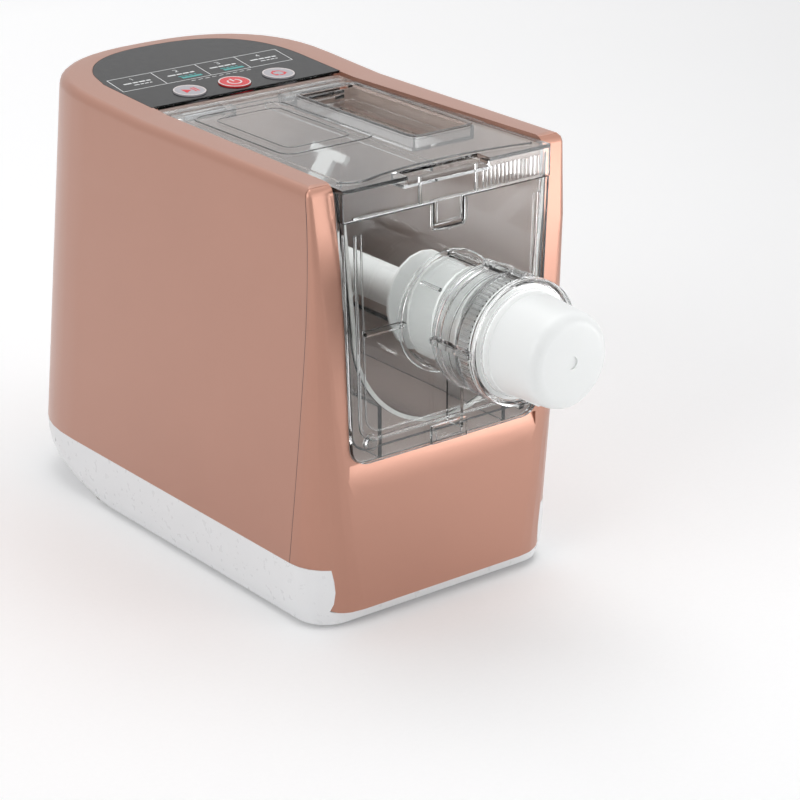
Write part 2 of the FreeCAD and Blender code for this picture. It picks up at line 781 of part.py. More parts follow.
node("lid_switch", block("lid_switch_case", "lid_switch_left", "lid_switch_right", "bay_back + liner_wall",
                         "bay_back + liner_wall + 8", "top_height - 32", "top_height - 12"))

# Mixing bowl with its bush, seal and hinge pins

COVER_BACK = "(flange_front + seal_thick + 0.3)"
COVER_FRONT = "(flange_front + seal_thick + 0.3 + cover_thick)"
flange_back = num("flange_thick - flange_front")
bowl_end = num("bowl_back + bowl_wall")
bowl_form = trough(0, flange_back, bowl_end, num("bowl_top"))
bowl_hollow = trough(num("bowl_wall"), -30, num("bowl_back"), num("bowl_top") + 20)
flange = bay(num("slide_gap"), -num("flange_front"), flange_back, num("cover_top"))
bowl_shell = bowl_form.fuse(flange).cut(bowl_hollow)
runner_drop = "(axis_height - (bowl_radius + bowl_wall) * 0.72)"
runners = [block(f"runner_{n}", f"{place} - runner_width / 2", f"{place} + runner_width / 2",
                 "flange_thick - flange_front - 0.5", "bowl_back", "bay_bottom + slide_gap / 2", runner_drop)
           for n, place in enumerate(("-runner_place", "runner_place"))]
EARS = [("-68", "-60.4"), ("-27.6", "-20"), ("20", "27.6"), ("60.4", "68")]
ears = []
for n, (left, right) in enumerate(EARS):
    ears.append(bar(f"ear_round_{n}", left, right, "hinge_back", "hinge_height", "hinge_round"))
    ears.append(block(f"ear_arm_{n}", left, right, "bowl_back + 0.5", "hinge_back", "hinge_height - hinge_round",
                      "hinge_height + hinge_round - 0.6"))
bowl_body = fuse("bowl_body", moulded("bowl_shell", bowl_shell),
                 rod("bush_boss", 0, "bowl_back - 5", "bowl_back + 1", "axis_height", "rod_radius + 8"), *runners, *ears)
HINGE_RUNS = [(-68, -20), (20, 68)]
pin_bores = [bar(f"pin_bore_{n}", left, right, "hinge_back", "hinge_height", "pin_radius")
             for n, (left, right) in enumerate(HINGE_RUNS)]
node("mixing_bowl", cut("bowl_solid", bowl_body, *pin_bores,
                        rod("bush_hole", 0, "bowl_back - 8", "bowl_back + 8", "axis_height", "rod_radius + 4.5")))
node("bowl_bush", cut("bush_solid",
                      rod("bush_round", 0, "bowl_back - 5", "bowl_back + bowl_wall", "axis_height",
                          "rod_radius + 4.5"),
                      rod("bush_bore", 0, "bowl_back - 8", "bowl_back + 8", "axis_height",
                          "rod_radius + run_play")))
seal_form = trough(0, -num("flange_front + seal_thick"), -num("flange_front"), num("cover_top"))
node("cover_seal", moulded("seal_solid", seal_form.cut(bowl_hollow)))
node("hinge_pins", *[bar(f"hinge_pin_{n}", left, right, "hinge_back", "hinge_height", "pin_radius")
                     for n, (left, right) in enumerate(HINGE_RUNS)])

# Lid with its inlet tray, grip and tongue

LID_LOW = "(bowl_top + lid_gap)"
LID_HIGH = "(bowl_top + lid_gap + lid_thick)"
lid_plate = doc.addObject("PartDesign::Body", "lid_plate")
lid_sketch = sketch_on(lid_plate, "XY_Plane", LID_LOW)
polygon(lid_sketch, [(f"slide_gap - bay_top_half", f"-{COVER_FRONT}"), ("bay_top_half - slide_gap", f"-{COVER_FRONT}"),
                     ("bay_rear_half - slide_gap", "hinge_back + 4.5"),
                     ("slide_gap - bay_rear_half", "hinge_back + 4.5")])
lid_pad = lid_plate.newObject("PartDesign::Pad", "lid_pad")
lid_pad.Profile = lid_sketch
bind(lid_pad, "Length", "lid_thick")
LIP_LOW = f"({LID_HIGH} - lip_height)"
lip = block("lid_lip", "slide_gap - bay_top_half", "bay_top_half - slide_gap", f"-{COVER_FRONT}",
            f"lip_thick - {COVER_FRONT}", LIP_LOW, f"{LID_LOW} + 0.5")
tongue = block("lid_tongue", "-tongue_half", "tongue_half", f"0.4 - {COVER_FRONT}", f"2.8 - {COVER_FRONT}",
               f"{LIP_LOW} - tongue_drop", f"{LIP_LOW} + 1")
tray_wall = block("tray_wall", "tray_left - 2", "tray_right + 2", "tray_front - 2", "tray_back + 2",
                  f"{LID_HIGH} - tray_depth - 2", f"{LID_LOW} + 0.5")
shelf = block("grip_shelf", "-grip_half", "grip_half", f"lip_thick - 0.5 - {COVER_FRONT}", 4, f"{LID_LOW} - 5",
              f"{LID_LOW} - 2.6")
shelf_back = block("grip_back", "-grip_half", "grip_half", 2, 4, f"{LID_LOW} - 5", f"{LID_LOW} + 0.5")
side_ribs = [block(f"lid_rib_{n}", left, right, 8, 182, f"{LID_LOW} - 4", f"{LID_LOW} + 0.5")
             for n, (left, right) in enumerate([(-70, -68), (-1, 1)])]
KNUCKLES = [("-60", "-28"), ("28", "60")]
knuckles = []
for n, (left, right) in enumerate(KNUCKLES):
    knuckles.append(bar(f"knuckle_round_{n}", left, right, "hinge_back", "hinge_height", "hinge_round"))
    knuckles.append(block(f"knuckle_web_{n}", left, right, "hinge_back - 2.5", "hinge_back + 2.5", "hinge_height",
                          f"{LID_LOW} + 0.5"))
lid_body = fuse("lid_body", lid_plate, lip, tongue, tray_wall, shelf, shelf_back, *side_ribs, *knuckles)
lid_cuts = [
    block("tray_hollow", "tray_left", "tray_right", "tray_front", "tray_back", f"{LID_HIGH} - tray_depth",
          f"{LID_HIGH} + 5"),
    block("tray_slot", "(tray_left + tray_right) / 2 - slot_half", "(tray_left + tray_right) / 2 + slot_half",
          "tray_front + 14", "tray_back - 14", 270, 290),
    block("grip_hollow", "2 - grip_half", "grip_half - 2", f"-{COVER_FRONT} - 1", 2, f"{LID_LOW} - 2.6",
          f"{LID_HIGH} + 5"),
]
lid_cuts += [bar(f"knuckle_bore_{n}", left, right, "hinge_back", "hinge_height", "pin_radius + pin_play")
             for n, (left, right) in enumerate(KNUCKLES)]
node("lid", cut("lid_solid", lid_body, *lid_cuts))

# Front cover with the extruder barrel

cover_plate = bay(num("slide_gap"), -num(COVER_FRONT), -num(COVER_BACK), num("cover_top"))
WEB = "axis_height - barrel_outer"
cover_webs = [
    block("web_low", -1.2, 1.2, f"-{COVER_FRONT} - 14", f"0.5 - {COVER_FRONT}", "bay_bottom + 14", WEB + " + 0.5"),
    block("web_left", "-bay_low_half + 8", "0.5 - barrel_outer", f"-{COVER_FRONT} - 5", f"0.5 - {COVER_FRONT}",
          "axis_height - 1.2", "axis_height + 1.2"),
    block("web_right", "barrel_outer - 0.5", "bay_low_half - 8", f"-{COVER_FRONT} - 5", f"0.5 - {COVER_FRONT}",
          "axis_height - 1.2", "axis_height + 1.2"),
    block("barrel_rib", -1.5, 1.5, "2 - ring_skirt", f"0.5 - {COVER_FRONT}", "axis_height + barrel_outer - 0.5",
          "axis_height + barrel_outer + 2.5"),
    block("cover_tab", -14, 14, f"-{COVER_FRONT} - 2.5", f"0.5 - {COVER_FRONT}", "bay_bottom + slide_gap + 1",
          "bay_bottom + slide_gap + 13"),
]
corner_bosses = [rod(f"corner_boss_{n}", side, f"-{COVER_FRONT} - 2", f"0.5 - {COVER_FRONT}", "bay_bottom + 15", 5.5)
                 for n, side in enumerate(("14 - bay_low_half", "bay_low_half - 14"))]
cover_body = fuse("cover_body", moulded("cover_plate", cover_plate),
                  rod("barrel_round", 0, "-barrel_nose", f"0.5 - {COVER_FRONT}", "axis_height", "barrel_outer"),
                  *cover_webs, *corner_bosses)
node("front_cover", cut("cover_solid", cover_body,
                        rod("barrel_hole", 0, "-barrel_nose - 5", 5, "axis_height", "barrel_bore"),
                        block("tongue_notch", "-notch_half", "notch_half", -20, 5, "cover_top - notch_depth",
                              "cover_top + 5")))

# Lock ring, die head and die plate

ring_profile = [
    ("-ring_skirt", "ring_bore"), ("-ring_skirt", "ring_outer - 1"),
    ("-ring_skirt - 6", "ring_outer - 1"), ("-ring_skirt - 6", "ring_outer - 0.2"),
    ("-ring_skirt - 9", "ring_outer - 0.2"), ("-ring_skirt - 9", "ring_outer - 1"),
    ("-ring_skirt - 21", "ring_outer - 1"), ("-ring_skirt - 21", "ring_outer"),
    ("-ring_skirt - 24", "ring_outer"), ("-ring_skirt - 24", "ring_outer - 1"),
    ("6 - ring_nose", "ring_outer - 1"), ("4 - ring_nose", "ring_outer"),
    ("-ring_nose", "ring_outer"), ("-ring_nose", "head_back + 0.6"),
    ("ring_lip - ring_nose", "head_back + 0.6"), ("ring_lip - ring_nose", "ring_bore"),
]
ring = turned("ring_solid", "axis_height", ring_profile)
grip_sketch = sketch_on(ring, "XZ_Plane", "ring_skirt + 3", "axis_height")
polygon(grip_sketch, [("ring_outer - 1.6", "-2.6"), ("ring_outer + 3.4", "-1.8"), ("ring_outer + 3.4", "1.8"),
                      ("ring_outer - 1.6", "2.6")])
grip = ring.newObject("PartDesign::Pad", "ring_grip")
grip.Profile = grip_sketch
bind(grip, "Length", "ring_nose - ring_skirt - 6")
doc.recompute()
grips = ring.newObject("PartDesign::PolarPattern", "ring_grips")
grips.Originals = [grip]
grips.Axis = (grip_sketch, ["N_Axis"])
grips.Angle = 360
grips.Occurrences = 4
ring.Tip = grips
node("lock_ring", ring)

HEAD_BACK = "(barrel_nose + 0.3)"
HEAD_ROUND = "(head_wall + 5)"
nose_arc = [(f"{HEAD_ROUND} * {1 - math.sin(math.radians(a)):.6f} - nose_reach",
             f"head_front - {HEAD_ROUND} * {1 - math.cos(math.radians(a)):.6f}") for a in range(0, 91, 30)]
head = turned("head_turned", "axis_height", [
    (f"-{HEAD_BACK}", "head_cavity"), (f"-{HEAD_BACK}", "head_flange"),
    (f"-{HEAD_BACK} - flange_step", "head_flange"), (f"-{HEAD_BACK} - flange_step", "head_back"), *nose_arc,
    ("-nose_reach", "0"), ("head_wall - nose_reach", "0"), ("head_wall - nose_reach", "head_cavity - 5"),
    ("head_wall + 4 - nose_reach", "head_cavity - 1.5"),
])
node("die_head", cut("head_solid", head,
                     block("die_mouth", "-die_half", "die_half", "-die_front", "-die_back", "axis_height - 60",
                           "axis_height - 15"),
                     rod("head_dimple", 0, "-nose_reach - 1", "1 - nose_reach", "axis_height", "dimple_radius")))
die_block = block("die_block", "-die_half", "die_half", "-die_front", "-die_back",
                  "axis_height - die_drop - die_thick", "axis_height - die_drop")
die_slots = [block(f"die_slot_{line}", f"({line} - die_slots / 2) * die_pitch - die_slot",
                   f"({line} - die_slots / 2) * die_pitch + die_slot", "4 - die_front", "-die_back - 4",
                   "axis_height - 60", "axis_height") for line in range(1, int(num("die_slots")))]
node("die_plate", cut("die_solid", die_block, *die_slots))

# Auger and mixing paddle

axis_spot = Vector(0, 0, num("axis_height"))


def flight_rib():
    """Corners of the flight's section at each step of its way along the core."""
    length = num("flight_back + flight_nose")
    steps = round(num("flight_steps") * length / num("flight_pitch"))
    root, tip = num("core_radius") - 1.5, num("flight_radius")
    thick = num("flight_thick") / 2
    ribs = []
    for step in range(steps + 1):
        angle = 2 * math.pi * step / num("flight_steps")
        depth = num("flight_back") - length * step / steps
        ribs.append([Vector(radius * math.cos(angle), depth + shift, num("axis_height") + radius * math.sin(angle))
                     for radius, shift in ((root, thick), (tip, 1), (tip, -1), (root, -thick))])
    return ribs


def triangle(first, second, third):
    """Flat face between three corners."""
    return Part.Face(Part.makePolygon([first, second, third, first]))


ribs = flight_rib()
flight_faces = [Part.Face(Part.makePolygon(rib + rib[:1])) for rib in (ribs[0], ribs[-1])]
for here, ahead in zip(ribs, ribs[1:]):
    for corner in range(4):
        after = (corner + 1) % 4
        flight_faces.append(triangle(here[corner], here[after], ahead[corner]))
        flight_faces.append(triangle(here[after], ahead[after], ahead[corner]))
flight = Part.Solid(Part.makeShell(flight_faces))
core = Part.makeCylinder(num("core_radius"), num("flight_back + flight_nose + flight_thick"),
                         axis_spot + Vector(0, num("flight_back + flight_thick / 2"), 0), Vector(0, -1, 0))
screw = core.fuse(flight)
spindle = rod("spindle", 0, "flight_back", "rod_back", "axis_height", "rod_radius")


def hexagon(radius):
    """Corners of a hexagon about the axis, as pairs of expressions."""
    return [(f"({radius}) * {math.cos(math.pi * n / 3):.6f}", f"axis_height + ({radius}) * {math.sin(math.pi * n / 3):.6f}")
            for n in range(6)]


socket = padded("socket_form", "rod_back + 1", "rod_back - spigot_nose + 2.5", hexagon("spigot_radius + socket_play"))
node("auger", cut("auger_solid", fuse("auger_body", moulded("auger_screw", screw), spindle), socket))

paddle = Part.makeCylinder(num("paddle_hub"), num("paddle_back - paddle_front"),
                           axis_spot + Vector(0, num("paddle_front"), 0), Vector(0, 1, 0))
ARM_COUNT = 4
arm_pitch = num("(paddle_back - paddle_front - arm_width - 6)") / (ARM_COUNT - 1)
for arm in range(ARM_COUNT):
    blade = Part.makeBox(num("paddle_reach"), num("arm_width"), num("arm_thick"),
                         Vector(0, -num("arm_width") / 2, -num("arm_thick") / 2))
    blade = blade.fuse(Part.makeBox(num("arm_thick"), num("arm_width") * 2.4, num("arm_thick"),
                                    Vector(num("paddle_reach - arm_thick"), -num("arm_width") * 1.2,
                                           -num("arm_thick") / 2)))
    blade.rotate(Vector(), Vector(1, 0, 0), 18)
    blade.rotate(Vector(), Vector(0, 1, 0), 90 * arm + 35)
    blade.translate(axis_spot + Vector(0, num("paddle_front") + 15 + arm * (arm_pitch - 4), 0))
    paddle = paddle.fuse(blade)
paddle = paddle.cut(Part.makeCylinder(num("rod_radius"), 300, axis_spot + Vector(0, -20, 0), Vector(0, 1, 0)))
node("mixing_paddle", moulded("paddle_solid", paddle))

# Gear train

IDLER = "(axis_height - coarse_module * (output_teeth + idler_teeth) / 2)"
MOTOR = f"({IDLER} - fine_module * (wheel_teeth + pinion_teeth) / 2)"
half_pitch = num("180 / output_teeth")
node("output_gear", gear("output_wheel", "output_teeth", "coarse_module", "coarse_back", "coarse_width",
                         "axis_height", "shaft_radius", half_pitch - 90))
node("idler_wheel", gear("idler_disc", "wheel_teeth", "fine_module", "fine_back", "fine_width", IDLER,
                         "idler_pin + run_play", -90))
node("idler_pinion", gear("idler_small", "idler_teeth", "coarse_module", "fine_back - fine_width",
                          "fine_back - fine_width - coarse_back + coarse_width", IDLER,
                          "idler_pin + run_play", 90))
node("motor_pinion", gear("motor_small", "pinion_teeth", "fine_module", "fine_back", "fine_width", MOTOR,
                          "rotor_shaft", 90 + num("180 / pinion_teeth")))
spigot = padded("spigot_form", "case_front + 2", "case_front + 2 - spigot_nose", hexagon("spigot_radius"))
node("drive_shaft", fuse("drive_shaft_solid", spigot,
                         rod("drive_round", 0, "case_front", "case_back + cover_plate", "axis_height",
                             "shaft_radius")))
node("idler_pin", rod("idler_pin_round", 0, "case_front + case_wall", "case_back", IDLER, "idler_pin"))

CASE = [("-case_half", "axis_height - 33"), ("-case_half", "axis_height + 29"), (-30, "axis_height + 47"),
        (30, "axis_height + 47"), ("case_half", "axis_height + 29"), ("case_half", "axis_height - 33"),
        (43, f"{IDLER} - 23"), (20, f"{MOTOR} - 17"), (-20, f"{MOTOR} - 17"), (-43, f"{IDLER} - 23")]
CASE_HOLLOW = [("case_wall - case_half", "axis_height - 32.5"), ("case_wall - case_half", "axis_height + 28"),
               (-29, "axis_height + 44.4"), (29, "axis_height + 44.4"),
               ("case_half - case_wall", "axis_height + 28"), ("case_half - case_wall", "axis_height - 32.5"),
               (40.4, f"{IDLER} - 22"), (18.4, f"{MOTOR} - 14.4"), (-18.4, f"{MOTOR} - 14.4"),
               (-40.4, f"{IDLER} - 22")]
LUGS = [(side * across, height) for across, height in ((50, "axis_height - 21"), (41, f"{MOTOR} + 13"))
        for side in (-1, 1)]
case_form = padded("case_form", "case_back", "case_back - case_front", CASE)
case_hollow = padded("case_hollow", "case_back + 1", "case_back + 1 - case_front - case_wall", CASE_HOLLOW)
case_lugs = [rod(f"case_lug_{n}", side, "case_back - 18", "case_back", height, 5)
             for n, (side, height) in enumerate(LUGS)]
lug_bores = [rod(f"lug_bore_{n}", side, "case_back - 14", "case_back + 1", height, "screw_radius")
             for n, (side, height) in enumerate(LUGS)]
case_boss = rod("case_boss", 0, "case_front", "case_front + 7", "axis_height", "shaft_radius + 7")
case_hole = rod("case_hole", 0, "case_front - 1", "case_front + 10", "axis_height", "shaft_radius + 4")
case_shell = cut("case_shell", case_form, case_hollow)
node("gearbox_housing", cut("case_solid", fuse("case_body", case_shell, case_boss, *case_lugs), case_hole,
                            *lug_bores))
node("front_bush", cut("front_bush_solid",
                       rod("front_bush_round", 0, "case_front", "case_front + 7", "axis_height",
                           "shaft_radius + 4"),
                       rod("front_bush_bore", 0, "case_front - 1", "case_front + 9", "axis_height",
                           "shaft_radius + run_play")))
lid_form = padded("gear_cover_form", "case_back + cover_plate", "cover_plate", CASE,
                  [(0, "axis_height", "shaft_radius + 3"), (0, MOTOR, "rotor_shaft + 2")])
cover_lugs = [rod(f"cover_lug_{n}", side, "case_back", "case_back + cover_plate", height, 5)
              for n, (side, height) in enumerate(LUGS)]
cover_bores = [rod(f"cover_bore_{n}", side, "case_back - 1", "case_back + cover_plate + 1", height, "screw_radius")
               for n, (side, height) in enumerate(LUGS)]
node("gearbox_cover", cut("gear_cover_solid", fuse("gear_cover_body", lid_form, *cover_lugs), *cover_bores))
node("rear_bush", cut("rear_bush_solid",
                      rod("rear_bush_round", 0, "case_back", "case_back + cover_plate", "axis_height",
                          "shaft_radius + 3"),
                      rod("rear_bush_bore", 0, "case_back - 1", "case_back + cover_plate + 1", "axis_height",
                          "shaft_radius + run_play")))
node("gearbox_screws", *[fuse(f"gear_screw_{n}",
                              rod(f"gear_shank_{n}", side, "case_back - 14", "case_back + cover_plate", height,
                                  "screw_radius"),
                              rod(f"gear_head_{n}", side, "case_back + cover_plate", "case_back + cover_plate + 2.4",
                                  height, "screw_head")) for n, (side, height) in enumerate(LUGS)])

# Motor, fan and what stands beside them

MOTOR_FRONT = "(case_back + cover_plate)"
MOTOR_BACK = "(case_back + cover_plate + motor_length)"
node("motor_can", cut("can_solid", rod("can_round", 0, MOTOR_FRONT, MOTOR_BACK, MOTOR, "motor_radius"),
                      rod("can_hollow", 0, f"{MOTOR_FRONT} + motor_wall", f"{MOTOR_BACK} + 1", MOTOR,
                          "motor_radius - motor_wall"),
                      rod("can_hole", 0, f"{MOTOR_FRONT} - 1", f"{MOTOR_FRONT} + 5", MOTOR,
                          "rotor_shaft + run_play")))
node("motor_end_cap", cut("end_cap_solid",
                          rod("end_cap_round", 0, MOTOR_BACK, f"{MOTOR_BACK} + 3", MOTOR, "motor_radius"),
                          rod("end_cap_hole", 0, f"{MOTOR_BACK} - 1", f"{MOTOR_BACK} + 4", MOTOR,
                              "rotor_shaft + run_play")))
node("motor_rotor", turned("rotor_solid", MOTOR, [
    ("fine_back - fine_width", "0"), ("fine_back - fine_width", "rotor_shaft"),
    (f"{MOTOR_FRONT} + 9", "rotor_shaft"), (f"{MOTOR_FRONT} + 9", "rotor_radius"),
    (f"{MOTOR_BACK} - 8", "rotor_radius"), (f"{MOTOR_BACK} - 8", "rotor_shaft"),
    (f"{MOTOR_BACK} + 13", "rotor_shaft"), (f"{MOTOR_BACK} + 13", "0"),
]))
fan = doc.addObject("PartDesign::Body", "fan_solid")
hub_sketch = sketch_on(fan, "XZ_Plane", f"-({MOTOR_BACK} + 13)", MOTOR)
circle(hub_sketch, "0", "0", "rotor_shaft + 5")
circle(hub_sketch, "0", "0", "rotor_shaft")
hub = fan.newObject("PartDesign::Pad", "fan_hub")
hub.Profile = hub_sketch
hub.Length = 8
doc.recompute()
blade_sketch = sketch_on(fan, "XZ_Plane", f"-({MOTOR_BACK} + 13)", MOTOR)
polygon(blade_sketch, [("rotor_shaft + 4", "-1"), ("fan_radius", "3"), ("fan_radius", "4.6"),
                       ("rotor_shaft + 4", "1")])
fan_blade = fan.newObject("PartDesign::Pad", "fan_blade")
fan_blade.Profile = blade_sketch
fan_blade.Length = 8
doc.recompute()
fan_ring = fan.newObject("PartDesign::PolarPattern", "fan_ring")
fan_ring.Originals = [fan_blade]
fan_ring.Axis = (hub_sketch, ["N_Axis"])
fan_ring.Angle = 360
bind(fan_ring, "Occurrences", "fan_blades")
fan.Tip = fan_ring
node("motor_fan", fan)

cradle_parts = [block("cradle_floor", -34, 34, f"{MOTOR_FRONT} + 13", f"{MOTOR_BACK} - 7", FLOOR, f"{FLOOR} + 3")]
cradle_parts += [block(f"cradle_rib_{n}", -30, 30, front, f"{front} + 6", f"{FLOOR} + 2", f"{MOTOR} - 14")
                 for n, front in enumerate((f"{MOTOR_FRONT} + 15", f"{MOTOR_BACK} - 15"))]
node("motor_cradle", cut("cradle_solid", fuse("cradle_body", *cradle_parts),
                         rod("cradle_seat", 0, MOTOR_FRONT, MOTOR_BACK, MOTOR, "motor_radius")))
node("power_board", block("power_board_plate", "power_left", "power_right", "power_front", "power_rear", BOARD_LOW,
                          f"{BOARD_LOW} + board_thick"))
node("motor_capacitor", post("capacitor_can", "power_left + 22", "power_front + 22", f"{BOARD_LOW} + board_thick",
                             f"{BOARD_LOW} + board_thick + 34", 12))
node("supply_transformer", block("transformer_block", "power_left + 4", "power_right - 10", "power_rear - 36",
                                 "power_rear - 8", f"{BOARD_LOW} + board_thick",
                                 f"{BOARD_LOW} + board_thick + 26"))

# Checks and files

doc.recompute()
for item in doc.Objects:
    if {"Invalid", "Error"} & set(item.State):
        raise RuntimeError(f"{item.Name} did not build")
os.makedirs("parts", exist_ok=True)
for item in nodes:
    if item.Shape.isNull() or not item.Shape.isValid() or not item.Shape.Solids:
        raise RuntimeError(f"{item.Label} is not a valid solid")
for item in nodes:
    item.Shape.exportStep(f"parts/{item.Label}.step")
    print(f"{item.Label}: {len(item.Shape.Solids)} solid, {item.Shape.Volume / 1000:.2f} cm3")
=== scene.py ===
"""Looks of a countertop pasta maker, dressed over its packed construction frame."""

import logging
import math
from dataclasses import dataclass
from enum import Enum
from functools import cache
from typing import Any, Sequence

import bmesh
import bpy
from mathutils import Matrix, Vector


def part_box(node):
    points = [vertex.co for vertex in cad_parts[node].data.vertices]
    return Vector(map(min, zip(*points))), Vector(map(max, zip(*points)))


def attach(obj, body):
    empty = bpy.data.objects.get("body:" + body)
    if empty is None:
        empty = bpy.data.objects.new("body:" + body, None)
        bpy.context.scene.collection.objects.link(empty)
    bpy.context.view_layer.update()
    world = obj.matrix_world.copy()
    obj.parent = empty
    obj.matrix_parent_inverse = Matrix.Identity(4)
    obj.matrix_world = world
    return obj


LOG = logging.getLogger("pasta_maker")
MM = 0.001
NOSE_REACH = 126.0
WELD_MM = 0.002
SHADE_ANGLE = math.radians(33)
BEVEL_ANGLE = math.radians(50)
CREASE_ANGLE = math.radians(38)
CORNER_STEPS = 6
ALONG_X = Vector((1, 0, 0))
ALONG_Y = Vector((0, 1, 0))
ALONG_Z = Vector((0, 0, 1))
WHITE = (1.0, 1.0, 1.0, 1.0)

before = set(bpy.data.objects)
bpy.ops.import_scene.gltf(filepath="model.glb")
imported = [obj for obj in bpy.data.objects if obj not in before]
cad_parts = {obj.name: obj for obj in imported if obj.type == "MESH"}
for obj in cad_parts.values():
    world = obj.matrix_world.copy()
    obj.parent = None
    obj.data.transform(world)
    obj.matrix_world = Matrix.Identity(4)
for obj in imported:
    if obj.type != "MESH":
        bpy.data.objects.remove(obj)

Flat = tuple[float, float]
Triple = tuple[float, float, float]

# Depth of the housing's front edge and height of the extruder's axis, read from the frame
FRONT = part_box("die_head")[0].y + NOSE_REACH * MM
AXIS = (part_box("lock_ring")[0].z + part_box("lock_ring")[1].z) / 2 / MM


class Slot(Enum):
    """Material slots of the record, kept as a label on some finishes."""

    COPPER = "copper_shell"
    CLEAR = "clear"
    PANEL = "panel_black"
    WHITE = "white_cap"
    GREY = "button_grey"
    RED = "button_red"
    SEAL = "seal_rubber"
    FOOT = "foot_rubber"
    STEEL = "steel"
    BLACK = "black_plastic"


def at(side: float, depth: float, height: float) -> Vector:
    """Turn millimetres from the housing's front edge into the frame's metres.

    Args:
        side: Distance to the right of the middle.
        depth: Distance behind the housing's front edge.
        height: Distance above the floor.

    Returns:
        The place in the frame.
    """
    return Vector((side * MM, depth * MM + FRONT, height * MM))


def linear(colour: str) -> tuple[float, float, float, float]:
    """Turn an sRGB hex colour to linear light.

    Args:
        colour: Six hex digits after a hash.

    Returns:
        Red, green, blue and an alpha of one.
    """
    parts = [int(colour[start:start + 2], 16) / 255 for start in (1, 3, 5)]
    red, green, blue = (p / 12.92 if p <= 0.04045 else ((p + 0.055) / 1.055) ** 2.4 for p in parts)
    return red, green, blue, 1.0


def add_node(tree: bpy.types.NodeTree, kind: str, links: dict[Any, Any] | None = None,
             **settings: Any) -> bpy.types.Node:
    """Add one node with its settings, and its inputs linked or given a value.

    Args:
        tree: Tree that the node joins.
        kind: Blender's type name of the node.
        links: Input name or number to an output socket or a plain value.
        settings: Properties of the node itself.

    Returns:
        The new node.
    """
    node = tree.nodes.new(kind)
    for name, value in settings.items():
        setattr(node, name, value)
    for socket, value in (links or {}).items():
        if isinstance(value, bpy.types.NodeSocket):
            tree.links.new(value, node.inputs[socket])
        else:
            node.inputs[socket].default_value = value
    return node


def new_material(name: str) -> tuple[bpy.types.Material, bpy.types.NodeTree, bpy.types.NodeSocket]:
    """Make an empty material.

    Args:
        name: Name of the material.

    Returns:
        The material, its cleared tree and the socket of object coordinates.
    """
    material = bpy.data.materials.new(name)
    material.use_nodes = True
    tree = material.node_tree
    tree.nodes.clear()
    return material, tree, add_node(tree, "ShaderNodeTexCoord").outputs["Object"]


@dataclass(frozen=True)
class Finish:
    """A moulded, cast or painted surface: its colour, gloss and fine texture."""

    name: str
    colour: str
    roughness: float
    metallic: float = 0.0
    ior: float = 1.5
    coat: float = 0.0
    coat_roughness: float = 0.05
    grain_mm: float = 0.8
    grain_tone: float = 0.03
    grain_depth: float = 0.02
    cloud_mm: float = 60.0
    cloud_tone: float = 0.02
    rough_spread: float = 0.05
    slot: Slot | None = None

    @cache
    def build(self) -> bpy.types.Material:
        """Make the material once and return it each time after.

        Returns:
            The Blender material of this finish.
        """
        material, tree, spot = new_material(self.name)
        grain = add_node(
            tree, "ShaderNodeTexNoise",
            {"Vector": spot, "Scale": 1 / (self.grain_mm * MM), "Detail": 3.0, "Roughness": 0.6})
        cloud = add_node(
            tree, "ShaderNodeTexNoise", {"Vector": spot, "Scale": 1 / (self.cloud_mm * MM), "Detail": 2.0})
        base = linear(self.colour)
        spread = self.grain_tone + self.cloud_tone
        dark = tuple(c * (1 - spread) for c in base[:3]) + (1.0,)
        light = tuple(min(1.0, c * (1 + spread)) for c in base[:3]) + (1.0,)
        blend = add_node(
            tree, "ShaderNodeMix",
            {0: self.grain_tone / spread, 2: cloud.outputs["Fac"], 3: grain.outputs["Fac"]},
            data_type="FLOAT")
        tone = add_node(tree, "ShaderNodeMix", {0: blend.outputs[0], 6: dark, 7: light}, data_type="RGBA")
        gloss = add_node(
            tree, "ShaderNodeMapRange",
            {"Value": grain.outputs["Fac"], "From Min": 0.3, "From Max": 0.7,
             "To Min": max(0.0, self.roughness - self.rough_spread),
             "To Max": min(1.0, self.roughness + self.rough_spread)})
        bump = add_node(
            tree, "ShaderNodeBump",
            {"Strength": 1.0, "Distance": self.grain_depth * MM, "Height": grain.outputs["Fac"]})
        shader = add_node(
            tree, "ShaderNodeBsdfPrincipled",
            {"Base Color": tone.outputs[2], "Roughness": gloss.outputs["Result"], "Metallic": self.metallic,
             "IOR": self.ior, "Coat Weight": self.coat, "Coat Roughness": self.coat_roughness,
             "Normal": bump.outputs["Normal"]})
        add_node(tree, "ShaderNodeOutputMaterial", {"Surface": shader.outputs["BSDF"]})
        return material


